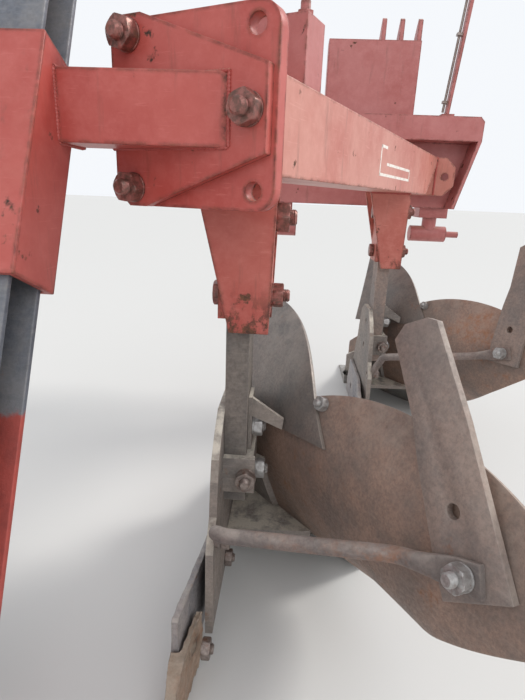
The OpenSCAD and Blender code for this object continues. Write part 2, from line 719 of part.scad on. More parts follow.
module top_link_ears() color(paint) place() {
  top = head_top + tower_h + ear_tip;
  for (i = [-1:1]) translate([ear_x + i * ear_step - ear_t / 2, ear_y, 0]) yz(ear_t) difference() {
    union() {
      polygon([[0, head_top], [ear_d, head_top], [ear_d, head_top + tower_h * 0.55],
        [ear_d * 0.72, head_top + tower_h], [ear_d * 0.5, top - 40], [ear_d * 0.2, top - 8],
        [10, top], [0, top - 6]]);
      translate([head_t - tower_t, cross_z + cross_w / 2])
        square([ear_d - head_t + tower_t, head_top - cross_z - cross_w / 2]);
    }
    for (k = [0:1]) translate([ear_d * 0.55, link_z + mast_h + k * top_hole_step])
      circle(d = top_pin_d);
  }
}
// lower link pin on its block
module link_pin_left() mirror_pin() link_pin_solid();
module link_pin_right() link_pin_solid();
module mirror_pin() translate([2 * (hitch_x - mid[0]), 0, 0]) mirror([1, 0, 0]) children();
module link_pin_solid() color(paint) place() translate([hitch_x, head_y + head_t + cross_w / 2, 0]) {
  x1 = link_span / 2;
  translate([x1 - pin_block_in, -pin_block_d / 2, link_z + pin_rise])
    cube([pin_block_w, pin_block_d, cross_z - cross_w / 2 - link_z - pin_rise]);
  translate([x1 - pin_post_in, 0, link_z]) cylinder(d = pin_post_d, h = pin_rise);
  translate([x1 - pin_bar_l, 0, link_z]) rotate([0, 90, 0]) cylinder(d = pin_bar_d, h = pin_bar_l);
  translate([x1, 0, link_z]) rotate([0, 90, 0]) cylinder(d = link_pin_d, h = link_pin_l);
}

// Hand lever with its sprung latch
module on_lever() place() translate([hitch_x + lever_x, head_y - head_flange_d / 2, head_top])
  rotate([0, lever_lean, 0]) children();
module lever_bar() color(paint) {
  on_lever() translate([-lever_t / 2, -lever_w / 2, 2]) cube([lever_t, lever_w, lever_l]);
  on_lever() translate([0, 0, lever_l]) cylinder(d = 30, h = 90);
  place() translate([hitch_x + lever_x - 20, head_y - head_flange_d / 2 - 25, head_top])
    cube([40, 50, 8]);
}
module lever_latch() color(bare) on_lever() translate([-lever_t / 2 - 9, 0, 0]) {
  translate([0, 0, 14]) cylinder(d = latch_d, h = lever_l - 14);
  for (z = [40, lever_l * 0.5, lever_l - 20]) translate([-8, -8, z]) cube([17, 16, 8]);
  for (i = [0:9]) translate([0, 0, lever_l - 130 + i * 9])
    rotate_extrude() translate([latch_d / 2 + 1.5, 0]) circle(d = 4);
}

// One body: leg, shank, frog, landside, boards
module leg() {
  top = beam_under;
  low = top - leg_l;
  for (y = [-leg_d / 2, leg_d / 2 - leg_t]) translate([0, y, 0]) xz(leg_t)
    polygon([[-leg_left, top], [leg_right, top], [leg_foot_right, low], [-leg_foot_left, low]]);
  // cheeks either side of the shank
  for (x = [-shank_w / 2 - leg_t - 0.2, leg_foot_right - leg_t])
    translate([x, -leg_d / 2 + leg_t, shear_z - 30]) difference() {
      cube([leg_t, leg_d - 2 * leg_t, top - shear_z + 30]);
      for (q = [[pivot_z, pivot_d], [shear_z, shear_d]])
        translate([-e, leg_d / 2 - leg_t, q[0] - shear_z + 30]) rotate([0, 90, 0])
          cylinder(d = q[1] + hole_gap, h = leg_t + 2 * e);
    }
}
module leg_bolts() for (q = [[pivot_z, pivot_d], [shear_z, shear_d]])
  translate([-shank_w / 2 - leg_t - 0.2, 0, q[0]]) rotate([0, 90, 0]) {
    hex_bolt(q[1], leg_foot_right + shank_w / 2 + leg_t + 0.2);
    // spacer between shank and cheek
    translate([0, 0, shank_w + leg_t + 0.4]) difference() {
      cylinder(d = 2 * q[1], h = leg_foot_right - leg_t - shank_w / 2 - 0.4);
      translate([0, 0, -e]) cylinder(d = q[1], h = 60);
    }
  }
module shank() difference() {
  translate([-shank_w / 2, -shank_d / 2, shank_z]) cube([shank_w, shank_d, pivot_z + 34 - shank_z]);
  for (q = [[pivot_z, pivot_d], [shear_z, shear_d], [frog_bolt_hi, frog_bolt_d],
    [frog_bolt_lo, frog_bolt_d]]) translate([-shank_w / 2 - e, 0, q[0]]) rotate([0, 90, 0])
      cylinder(d = q[1] + hole_gap, h = shank_w + 2 * e);
}
module frog() {
  // side plate, its rear edge swept back and down
  difference() {
    translate([frog_x, 0, 0]) yz(frog_t - 0.2) polygon([[-148, 40], [-148, 190], [-141, 204],
      [-116, 234], [-108, 290], [-98, 323], [-72, 352], [-36, frog_top], [60, frog_top],
      [112, 352], [124, 320], [134, 290], [150, 240], [180, 200], [195, 150], [208, 100], [208, 40]]);
    for (z = [frog_bolt_hi, frog_bolt_lo]) translate([frog_x - e, 0, z]) rotate([0, 90, 0])
      cylinder(d = frog_bolt_d + hole_gap, h = frog_t + 2 * e);
    for (y = land_bolts) translate([frog_x - e, y, land_bolt_z]) rotate([0, 90, 0])
      cylinder(d = heel_bolt_d + 1, h = frog_t + 2 * e);
    translate([frog_x - e, rod_y, rod_z]) rotate([0, 90, 0])
      cylinder(d = heel_bolt_d + 1, h = frog_t + 2 * e);
  }
  // clamp round the shank's back and right side
  translate([frog_x + frog_t - 0.4, -54, 240]) cube([shank_w + 16, 13, 62]);
  difference() {
    translate([shank_w / 2 + 0.2, -41.2, 240]) cube([12, 81, 62]);
    translate([0, 0, frog_bolt_lo]) rotate([0, 90, 0]) cylinder(d = frog_bolt_d + hole_gap, h = 60);
  }
  // thin cheek above the clamp, with the flat strip that stays the trashboard
  difference() {
    translate([shank_w / 2 + 0.2, -20, 301]) cube([6, 44, stay_z + 12 - 301]);
    translate([0, 0, frog_bolt_hi]) rotate([0, 90, 0]) cylinder(d = frog_bolt_d + hole_gap, h = 60);
  }
  translate([shank_w / 2 + 0.2, -12, 0]) xz(8) polygon([[0, stay_z + 12], [0, stay_z - 22],
    [56, 338], [58, 356]]);
  // level base plate from the side plate to the board's foot
  translate([0, 0, base_z]) linear_extrude(frog_base_t) polygon(concat(
    [[frog_x + frog_t - 1, 22], [level_pt(base_z + frog_base_t, -28, board_t + 2)[0] - 14, 30]],
    [for (l = [-28:-34:-232]) level_pt(base_z + frog_base_t, l, board_t + 2)],
    [[frog_x + frog_t - 1, 200]]));
  // breast strip behind the board's left end, on the board's own grid
  shell([for (i = [0:4]) [for (j = [0:6]) board_at(i / 18, j / 10)]], board_t + lay_gap,
    board_t + lay_gap + frog_base_t);
}
module frog_bolts() {
  for (z = [frog_bolt_hi, frog_bolt_lo]) translate([frog_x, 0, z]) rotate([0, 90, 0])
    hex_bolt(frog_bolt_d, frog_t + shank_w + (z == frog_bolt_lo ? 12.4 : 6.4), 0.3, head = false);
  // clamp bolt's nut on the clamp's rear face
  translate([20, -54.1, 269]) rotate([90, 0, 0]) {
    cylinder(d = 1.7 * frog_bolt_d, h = 0.8 * frog_bolt_d, $fn = 6);
    cylinder(d = frog_bolt_d, h = 1.3 * frog_bolt_d);
  }
}
// how far the landside's left face has swung out at y
function toe(y) = landside_toe * max(0, -20 - y) / (landside_back - 20);
module landside() difference() {
  intersection() {
    translate([0, 0, 8]) linear_extrude(landside_h - 8) polygon([[-land_x, 230], [-land_x, -20],
      [-land_x - landside_toe, -landside_back], [-land_x - landside_toe + landside_t, -landside_back],
      [-land_x + landside_t - 0.2, -20], [-land_x + landside_t - 0.2, 230]]);
    translate([-200, 0, 0]) yz(300) polygon([[-landside_back, 8], [-landside_back, landside_h - 6],
      [-landside_back + 6, landside_h], [186, landside_h], [230, 40], [230, 8]]);
  }
  for (y = concat(land_bolts, [heel_bolt_y])) translate([-land_x - 60, y, land_bolt_z])
    rotate([0, 90, 0]) cylinder(d = heel_bolt_d + 1, h = 120);
}
// worn block behind and beside the landside's rear end
module heel() difference() {
  h0 = heel_bolt_y + 36;
  h1 = -landside_back - 1.5;
  left = -land_x - landside_toe;
  intersection() {
    linear_extrude(heel_h) polygon([[-land_x - toe(h0) + landside_t + 0.4, h0],
      [-land_x - toe(h0) + landside_t + heel_t, h0], [left + landside_t + heel_t, -200],
      [left + landside_t + heel_t - 4, -250], [left + 16, -heel_back], [left + 2, -heel_back],
      [left, -262], [left, h1], [left + landside_t + 0.4, h1]]);
    translate([-200, 0, 0]) yz(300) polygon([[h0, heel_h], [h0, 20], [h0 - 22, 0], [-heel_back, 0],
      [-heel_back, 30], [-275, 62], [-245, heel_h - 6], [-205, heel_h]]);
  }
  translate([left - 20, heel_bolt_y, land_bolt_z]) rotate([0, 90, 0])
    cylinder(d = heel_bolt_d + 1, h = 120);
}
module share() {
  p1 = board_pt(joint_z - lay_gap, shin_l(joint_z, land_x), 0);
  p2 = board_pt(joint_z - lay_gap, wing_l, 0);
  q1 = [-land_x, tip_y, edge_z];
  q2 = [wing[0], wing[1], edge_z];
  d = [0, 0, -share_t];
  b = [-0.3 * share_n[0] * share_run, -0.3 * share_n[1] * share_run, 0];
  polyhedron([p1, p2, q2, q1, p1 + d, p2 + d, q2 + b - [0, 0, edge_z], q1 + [0, -40, -edge_z]],
    [[3, 2, 1, 0], [4, 5, 6, 7], [1, 5, 4, 0], [2, 6, 5, 1], [3, 7, 6, 2], [0, 4, 7, 3]]);
  // point
  translate([-land_x, tip_y - 150, 0]) yz(30) polygon([[0, 0], [150 + point_l, 0],
    [150 + point_l, 3], [110, 26], [0, 34]]);
}
module mouldboard() {
  difference() {
    shell([for (i = [0:18]) [for (j = [0:10]) board_at(i / 18, j / 10)]], 0, board_t);
    for (q = board_holes) board_axis(q[0], q[1], board_t) translate([0, 0, -5])
      cylinder(d = q[2] + 1, h = board_t + 10);
  }
}
module trashboard() {
  o = board_t + lay_gap;
  shell([for (i = [0:16]) [for (j = [0:10]) trash_at(i / 16, j / 10)]], o, o + trash_t);
}
// frame of the tail plate: x toward the shank, y up the plate, z toward the board
module on_tail(lean) {
  o = board_t + lay_gap;
  board_axis(tail_z, tail_l, o) rotate([0, 0, 90 - lean]) children();
}
module tail_plate(lean) on_tail(lean) translate([0, 0, -tail_t]) linear_extrude(tail_t)
  difference() {
    w = tail_w / 2;
    h = tail_head_w - 41;
    polygon([[-w, -tail_down], [w - 2, -tail_down], [w - 2, 20], [w - 9, 0.43 * tail_up],
      [h, 0.6 * tail_up], [h, tail_up - 12], [h - 21, tail_up], [h - 55, tail_up - 6],
      [h - 67, tail_up - 15], [-w - 2, 0.53 * tail_up]]);
    circle(d = tail_bolt_d + 1);
    translate([0, tail_hole_up]) circle(d = tail_hole_d);
  }
module board_bolts() {
  // light plough bolt, head flush in the board's working face
  board_axis(402, 80, board_t) {
    cylinder(d = board_bolt_d, h = board_t - 0.5);
    translate([0, 0, -18]) cylinder(d = board_bolt_d, h = 18);
    translate([0, 0, -12]) cylinder(d = 1.7 * board_bolt_d, h = 11.7, $fn = 6);
  }
  o = board_t + lay_gap;
  g = tail_t + rod_flat_t;
  board_axis(tail_z, tail_l, o) {
    translate([0, 0, -g - 26]) cylinder(d = tail_bolt_d, h = g + 26 + board_t - 0.5);
    translate([0, 0, -g - 15]) cylinder(d = 1.7 * tail_bolt_d, h = 12, $fn = 6);
    translate([0, 0, -g - 3]) cylinder(d = 2.2 * tail_bolt_d, h = 2.8);
  }
  // landside, heel and rod bolts, heads flush in the left face
  for (y = land_bolts) side_bolt([-land_x + 0.5, y, land_bolt_z], landside_t + frog_t - 0.5);
  side_bolt([-land_x - toe(heel_bolt_y) + 2, heel_bolt_y, land_bolt_z], landside_t + heel_t + 4);
  side_bolt([frog_x, rod_y, rod_z], frog_t + rod_flat_t);
}
// bolt along +X from p, its nut at the end of the grip
module side_bolt(p, grip) translate(p) rotate([0, 90, 0]) {
  cylinder(d = heel_bolt_d, h = grip + 1.1 * heel_bolt_d);
  translate([0, 0, grip + 0.1]) cylinder(d = 1.7 * heel_bolt_d, h = 0.8 * heel_bolt_d, $fn = 6);
}
module brace_rod() {
  x0 = frog_x + frog_t;
  a = [x0 + rod_d / 2 + 2, rod_y - 92, rod_z + 84];
  c = board_pt(tail_z, tail_l, board_t + lay_gap + tail_t + rod_d / 2 + 0.9);
  n = board_n(tail_z);
  level = (c - a) - ((c - a) * n) * n;
  dir = level / norm(level);
  b = c - dir * rod_flat_l;
  across = [-n[1], n[0], 0] / norm([n[0], n[1]]);
  flat_yaw = atan2(dir * across, dir * cross(across, n));
  // straight run
  rod(a, b);
  translate(a) sphere(d = rod_d);
  // bent foot, flat where it is bolted to the frog's side plate
  rod(a, [x0 + rod_d / 2 + 1, rod_y - 34, rod_z + 31]);
  translate([x0 + 0.2, rod_y, rod_z]) rotate([0, 90, 0]) linear_extrude(rod_flat_t - 0.4) difference() {
    union() {
      circle(d = rod_flat_w);
      rotate([0, 0, 222]) translate([0, -rod_flat_w / 2 + 2]) square([58, rod_flat_w - 4]);
    }
    circle(d = heel_bolt_d + 1);
  }
  // flat end on the tail bolt
  board_axis(tail_z, tail_l, board_t + lay_gap + tail_t) rotate([0, 0, flat_yaw])
    translate([0, 0, -rod_flat_t]) linear_extrude(rod_flat_t - 0.2) difference() {
      union() {
        circle(d = rod_flat_w);
        polygon([[0, rod_flat_w / 2], [0, -rod_flat_w / 2], [-rod_flat_l - 8, -rod_d / 2],
          [-rod_flat_l - 8, rod_d / 2]]);
      }
      circle(d = tail_bolt_d + 1);
    }
}
// round bar from p to q
module rod(p, q) {
  v = q - p;
  translate(p) rotate([0, acos(v[2] / norm(v)), atan2(v[1], v[0])]) cylinder(d = rod_d, h = norm(v));
}

module rear_leg() color(paint) place() at_body(0) leg();
module front_leg() color(paint) place() at_body(1) leg();
module rear_leg_bolts() color(bare) place() at_body(0) { leg_bolts(); frog_bolts(); }
module front_leg_bolts() color(bare) place() at_body(1) { leg_bolts(); frog_bolts(); }
module rear_shank() color(steel) place() at_body(0) shank();
module front_shank() color(steel) place() at_body(1) shank();
module rear_frog() color(steel) place() at_body(0) frog();
module front_frog() color(steel) place() at_body(1) frog();
module rear_landside() color(steel) place() at_body(0) landside();
module front_landside() color(steel) place() at_body(1) landside();
module rear_heel() color(steel) place() at_body(0) heel();
module front_heel() color(steel) place() at_body(1) heel();
module rear_share() color(steel) place() at_body(0) share();
module front_share() color(steel) place() at_body(1) share();
module rear_mouldboard() color(steel) place() at_body(0) mouldboard();
module front_mouldboard() color(steel) place() at_body(1) mouldboard();
module rear_trashboard() color(steel) place() at_body(0) trashboard();
module front_trashboard() color(steel) place() at_body(1) trashboard();
module rear_tail_plate() color(steel) place() at_body(0) tail_plate(tail_lean_rear);
module front_tail_plate() color(steel) place() at_body(1) tail_plate(tail_lean_front);
module rear_brace_rod() color(steel) place() at_body(0) brace_rod();
module front_brace_rod() color(steel) place() at_body(1) brace_rod();
module rear_board_bolts() color(bare) place() at_body(0) board_bolts();
module front_board_bolts() color(bare) place() at_body(1) board_bolts();

main_beam();
beam_front_plate();
rear_flange();
arm_plate();
flange_bolts();
wheel_arm();
wheel_sleeve();
wheel_post();
lifting_screw();
screw_crank();
wheel_carrier();
wheel_rim();
wheel_tyre();
beam_bracket();
headstock_frame();
cross_tube();
tower_panel();
top_link_ears();
link_pin_left();
link_pin_right();
lever_bar();
lever_latch();
rear_leg();
rear_leg_bolts();
rear_shank();
rear_frog();
rear_landside();
rear_heel();
rear_share();
rear_mouldboard();
rear_trashboard();
rear_tail_plate();
rear_brace_rod();
rear_board_bolts();
front_leg();
front_leg_bolts();
front_shank();
front_frog();
front_landside();
front_heel();
front_share();
front_mouldboard();
front_trashboard();
front_tail_plate();
front_brace_rod();
front_board_bolts();
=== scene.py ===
# %% [markdown]
# # A two-furrow mounted plough, seen from close behind
# The construction comes packed from the CAD source as a fixed frame: beam, legs, boards, wheel.
# This lesson gives it its looks: worn red paint, soil-scoured and rusty steel, nuts, welds and
# rubber. Everything is in metres, X to the right, Y along the travel, Z up. Sizes that come from
# a drawing are written in millimetres, as a workshop writes them, and divided by 1000.

# %% Load the frame
import math

import bmesh
import bpy
import numpy as np
from mathutils import Matrix, Vector


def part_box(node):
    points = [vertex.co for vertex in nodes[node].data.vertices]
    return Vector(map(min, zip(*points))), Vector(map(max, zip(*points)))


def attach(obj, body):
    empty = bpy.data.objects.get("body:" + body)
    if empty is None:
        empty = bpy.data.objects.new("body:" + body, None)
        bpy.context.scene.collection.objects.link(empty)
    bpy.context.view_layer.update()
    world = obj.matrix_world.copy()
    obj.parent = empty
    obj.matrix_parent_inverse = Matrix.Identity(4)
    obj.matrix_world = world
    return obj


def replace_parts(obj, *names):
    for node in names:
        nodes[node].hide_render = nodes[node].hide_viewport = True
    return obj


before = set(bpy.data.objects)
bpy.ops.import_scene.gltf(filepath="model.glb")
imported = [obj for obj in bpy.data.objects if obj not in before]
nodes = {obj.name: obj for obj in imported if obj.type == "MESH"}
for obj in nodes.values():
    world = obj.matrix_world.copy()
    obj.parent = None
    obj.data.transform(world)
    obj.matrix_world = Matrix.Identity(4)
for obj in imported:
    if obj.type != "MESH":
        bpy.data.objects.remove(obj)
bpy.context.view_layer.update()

# %% [markdown]
# The photograph was taken right behind the machine, looking down a little past the leaning wheel
# post. A camera could be pushed about by eye, but from so close by the perspective is strong and
# every small error shows. So place, pan, pitch, roll and focal length were worked out from the
# beam's edges and the spacing of the two bodies, in metres from the rear shank on the ground.

# %% Camera
def put_in_scene(name, data):
    """A new object of that data, linked into the scene."""
    thing = bpy.data.objects.new(name, data)
    bpy.context.scene.collection.objects.link(thing)
    return thing


low, high = (Vector(corner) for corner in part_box("rear_shank"))
right_of_shank, behind_shank, eye_height = 0.075, 0.744, 0.7072
shank = (low + high) / 2
eye = Vector((shank.x + right_of_shank, shank.y - behind_shank, eye_height))
pan, pitch, roll = math.radians(3.0), math.radians(17.56), 0.04  # in radians
focal_length, film_width = 24.94, 36.0

camera_data = bpy.data.cameras.new("photo_camera")
camera_data.lens = focal_length
camera_data.sensor_width = film_width
camera_data.clip_start = 0.02
camera = put_in_scene("photo_camera", camera_data)
turn = Matrix.Rotation(pan, 4, "Z") @ Matrix.Rotation(math.pi / 2 - pitch, 4, "X")
camera.matrix_world = Matrix.Translation(eye) @ turn @ Matrix.Rotation(roll, 4, "Z")
bpy.context.scene.camera = camera
print("camera at", [round(c, 3) for c in eye], "focal length", focal_length, "mm")

# %% [markdown]
# The plough stands on a plain pale floor, as in a catalogue picture. A curved paper backdrop
# would do too, but a wide flat floor needs one face and lets the machine be seen from all sides.

# %% Floor
def shader_sockets(material):
    """The Principled shader's sockets of a new node material."""
    material.use_nodes = True
    return material.node_tree.nodes["Principled BSDF"].inputs


floor_mesh = bpy.data.meshes.new("floor")
reach = 60.0
floor_corners = [(-reach, -reach, 0), (reach, -reach, 0), (reach, reach, 0), (-reach, reach, 0)]
floor_mesh.from_pydata(floor_corners, [], [(0, 1, 2, 3)])
floor = put_in_scene("floor", floor_mesh)
floor_material = bpy.data.materials.new("pale_floor")
sockets = shader_sockets(floor_material)
sockets["Base Color"].default_value = (0.64, 0.635, 0.62, 1)
sockets["Roughness"].default_value = 0.9
floor_mesh.materials.append(floor_material)
print("floor", 2 * reach, "m wide")

# %% [markdown]
# Soft light shows dents and wear without hard shadows. Many small lamps would each leave a shadow
# on the floor, so an even sky does most of the work. A broad sun from the front right gives the
# bright right-hand edges of the photograph, and a wide, weak lamp behind the camera puts glints
# on the nuts. The floor comes out a little darker than the sky, so the horizon stays quiet.

# %% Lamps and sky
def soft_lamp(name, place, aim, size, power):
    """A square area lamp at a place, turned to shine on a point."""
    data = bpy.data.lights.new(name, "AREA")
    data.size = size
    data.energy = power
    lamp = put_in_scene(name, data)
    lamp.location = place
    lamp.rotation_euler = (Vector(aim) - Vector(place)).to_track_quat("-Z", "Y").to_euler()


toward_sun = Vector((0.80, 0.38, 0.62))
sun_data = bpy.data.lights.new("broad_sun", "SUN")
sun_data.energy = 1.75
sun_data.angle = 0.3
sun_data.color = (1.0, 0.97, 0.92)
sun = put_in_scene("broad_sun", sun_data)
sun.rotation_euler = toward_sun.to_track_quat("Z", "Y").to_euler()
soft_lamp("behind_camera", place=(1.6, -4.2, 3.7), aim=(0, 0, 0.5), size=2.6, power=50)

world = bpy.data.worlds.new("even_sky")
world.use_nodes = True
sky = world.node_tree.nodes["Background"].inputs
sky["Color"].default_value = (0.80, 0.82, 0.85, 1)
sky["Strength"].default_value = 1.15
bpy.context.scene.world = world
bpy.context.scene.view_settings.view_transform = "Standard"
print("lamps", [light.name for light in bpy.data.lights])

# %% [markdown]
# Rust, paint and dust could be painted as pictures, but a picture shows seams and gets coarse
# close by. A network of nodes works the colour out from the place itself, in metres on the
# plough, and runs over forty pieces without a seam. The same few calls come back in each finish,
# so a small class keeps them short.

# %% A material's network
class Network:
    """One material, and the calls that add its nodes and join them."""

    def __init__(self, name):
        self.material = bpy.data.materials.new(name)
        self.sockets = shader_sockets(self.material)
        self.tree = self.material.node_tree
        self.place = self.add("TexCoord").outputs["Object"]
        self.surface = self.add("NewGeometry")

    def put(self, value, socket):
        """A number, a colour or another node's output goes into a socket."""
        if isinstance(value, bpy.types.NodeSocket):
            self.tree.links.new(value, socket)
        elif isinstance(value, tuple) and len(value) == 3 and socket.type == "RGBA":
            socket.default_value = (*value, 1)
        else:
            socket.default_value = value

    def add(self, kind, inputs=None, **settings):
        """A new shader node of that kind, with its settings made and its inputs filled."""
        node = self.tree.nodes.new("ShaderNode" + kind)
        for key, value in settings.items():
            setattr(node, key, value)
        for key, value in (inputs or {}).items():
            self.put(value, node.inputs[key])
        return node


print("networks read Object coordinates, in metres")

# %% [markdown]
# Weather, soil and use leave clouds, spots, streaks and bare edges. Each is one call here, so
# that a finish further on reads like a recipe. A worn edge is found by comparing the true
# surface direction with one rounded over a few millimetres: they differ only beside an edge.

# %% Patterns of wear
class Finish(Network):
    """Short calls for noise, masks, blends and bumps."""

    def noise(self, scale, detail=5, rough=0.6, stretch=(1, 1, 1), shift=0.0):
        """Cloudy noise, scale in features per metre; stretch above 1 makes them narrower."""
        moved = self.add("Mapping", {"Vector": self.place, "Scale": stretch,
                                     "Location": (shift, shift * 0.7, shift * 1.3)})
        return self.add("TexNoise", {"Vector": moved.outputs[0], "Scale": scale,
                                     "Detail": detail, "Roughness": rough}).outputs[0]

    def mask(self, value, low, high):
        """0 below low, 1 above high, smooth between; low above high turns it round."""
        return self.add("MapRange", {"Value": value, "From Min": low, "From Max": high},
                        interpolation_type="SMOOTHSTEP").outputs[0]

    def calc(self, how, a, b):
        """Two numbers joined by a Math node, kept from 0 to 1."""
        return self.add("Math", {0: a, 1: b}, operation=how, use_clamp=True).outputs[0]

    def blend(self, share, a, b):
        """Colour a where share is 0, colour b where it is 1."""
        return self.add("Mix", {0: share, 6: a, 7: b}, data_type="RGBA").outputs[2]

    def lay(self, colour, over, where, weight):
        """Another colour laid over one, where a mask is 1, with that weight."""
        return self.blend(self.calc("MULTIPLY", where, weight), colour, over)

    def between(self, value, low, high):
        """low where the value is 0, high where it is 1, straight between."""
        ends = {"Value": value, "To Min": low, "To Max": high}
        return self.add("MapRange", ends).outputs[0]

    def along(self, axis):
        """Height, or place along X or Y, in metres."""
        return self.add("SeparateXYZ", {0: self.place}).outputs[axis]

    def facing_up(self, low=0.3, high=0.9):
        """1 where the surface looks up, which is where dust and dirt lie."""
        normal = self.add("SeparateXYZ", {0: self.surface.outputs["Normal"]})
        return self.mask(normal.outputs["Z"], low, high)

    def edges(self, width, ragged=0.5, scale=60, shift=0.0):
        """1 beside an edge, in a band of that width broken up by noise."""
        rounded = self.add("Bevel", {"Radius": width}, samples=4)
        directions = {0: rounded.outputs[0], 1: self.surface.outputs["True Normal"]}
        same = self.add("VectorMath", directions, operation="DOT_PRODUCT").outputs["Value"]
        same_way, turned_away = 0.997, 0.90
        beside_edge = self.mask(same, same_way, turned_away)
        broken = self.mask(self.noise(scale, 6, 0.7, shift=shift), 0.5 - 0.2 * ragged, 0.62)
        return self.calc("MULTIPLY", beside_edge, broken)

    def finish(self, colour, rough, height, depth, strength, metal=0.0):
        """Joins the results to the shader; depth is the bump's height in metres."""
        self.put(colour, self.sockets["Base Color"])
        self.put(rough, self.sockets["Roughness"])
        self.put(metal, self.sockets["Metallic"])
        bump = self.add("Bump", {"Height": height, "Distance": depth, "Strength": strength})
        self.put(bump.outputs[0], self.sockets["Normal"])
        print("finish", self.material.name, "nodes", len(self.tree.nodes))
        return self.material


# %% [markdown]
# Farm paint fades in the sun and chips where soil, stones and chains knock it. A material for
# each red part would look painted on different days. So one function makes all the reds: a deep
# and a faded red drift into each other, faint scratches run over them, dirt lies on what looks
# up, and chips go down to dark, rusty steel. The beam's reds are paler than the plates': a
# painted glare of the sun on its lit face. The tower's and the front leg's are paler as well,
# a painted haze over the farther parts.

# %% Worn red paint
grimy_brown, dry_dust = (0.16, 0.06, 0.04), (0.45, 0.34, 0.24)
dark_rust, light_rust = (0.035, 0.022, 0.018), (0.15, 0.062, 0.032)


def red_paint(name, deep, faded, chips=0.5, seed=0.0, scuffed_below=None, edge=0.008):
    """Chipped paint between two reds: chips sets how much is gone, edge how wide a bare edge is,
    scuffed_below the height in metres under which soil has rubbed it, seed where patterns lie."""
    f = Finish(name)
    drift = f.mask(f.noise(4.5, 4, 0.65, shift=seed), 0.3, 0.7)
    mottle = f.mask(f.noise(38, 6, 0.75, shift=seed + 3), 0.35, 0.8)
    colour = f.blend(drift, deep, faded)
    pale = tuple(min(1.0, c * 1.12 + 0.05) for c in faded)
    colour = f.lay(colour, pale, mottle, 0.45)
    scratches = f.mask(f.noise(30, 3, 0.5, (1.2, 0.4, 14), seed + 5), 0.64, 0.7)
    colour = f.lay(colour, pale, scratches, 0.35)
    streak = f.mask(f.noise(16, 5, 0.7, (3, 3, 0.35), seed + 7), 0.56, 0.75)
    colour = f.lay(colour, grimy_brown, streak, 0.45)
    spots = f.mask(f.noise(26, 7, 0.62, shift=seed + 9), 0.665 - 0.03 * chips, 0.69)
    worn = f.calc("MAXIMUM", f.edges(edge, chips, 48, seed), spots)
    if scuffed_below is not None:
        low = f.mask(f.along(2), scuffed_below, scuffed_below - 0.09)
        rubbed = f.mask(f.noise(42, 8, 0.75, (1, 1, 0.6), seed + 11), 0.47, 0.56)
        worn = f.calc("MAXIMUM", worn, f.calc("MULTIPLY", low, rubbed))
    grain = f.mask(f.noise(90, 5, 0.7, shift=seed + 13), 0.35, 0.65)
    rust = f.blend(grain, dark_rust, light_rust)
    colour = f.blend(worn, colour, rust)
    dust = f.calc("MULTIPLY", f.facing_up(), f.mask(f.noise(14, 6, 0.7, shift=seed + 15), 0.35, 0.75))
    colour = f.lay(colour, dry_dust, dust, 0.55)
    rough = f.between(worn, 0.42, 0.85)
    height = f.calc("SUBTRACT", f.calc("ADD", f.calc("MULTIPLY", f.noise(220, 3, 0.5), 0.18), 0.6),
                   f.calc("MULTIPLY", worn, 0.5))
    return f.finish(colour, rough, height, 0.0009, 0.6)


shade_red = red_paint("red_paint_plates", (0.37, 0.046, 0.036), (0.465, 0.092, 0.074), 0.9, 1.0)
weld_red = red_paint("red_paint_welds", (0.34, 0.042, 0.033), (0.43, 0.084, 0.068), 0.0, 6.0,
                     edge=0.0004)
# The beam's paler reds are a painted glare of the sun on its lit face.
beam_red_painted_glare = red_paint("red_paint_beam_painted_glare", (0.45, 0.125, 0.092), (0.55, 0.235, 0.185), 0.7, 2.0)
# The tower's paler reds are a painted haze over the farther parts.
tower_red_painted_haze = red_paint("red_paint_tower_painted_haze", (0.38, 0.092, 0.082), (0.465, 0.16, 0.148), 0.6, 3.0)
leg_red = red_paint("red_paint_rear_leg", (0.38, 0.06, 0.043), (0.47, 0.12, 0.09), 0.9, 4.0, 0.60)
# The front leg's paler reds are a painted haze, as it stands farther off.
front_leg_red_painted_haze = red_paint("red_paint_front_leg_painted_haze", (0.43, 0.098, 0.07), (0.53, 0.175, 0.132),
                          0.8, 5.0, 0.58)

# %% [markdown]
# Steel that works in soil is brown and grey, not one rust colour: mill scale and polish where
# soil slides, orange where water stood, pale where soil dried on. One rust texture would make
# every part look the same age, so this recipe lays the layers one over the other. Other colours
# and grain make shanks, boards, landsides and frogs of it.

# %% Rusty, soil-worn steel
orange_rust, wet_rust, rubbed_edge = (0.26, 0.105, 0.045), (0.33, 0.13, 0.055), (0.36, 0.31, 0.27)
worn_red, shaded_red = (0.40, 0.075, 0.06), (0.3, 0.06, 0.05)


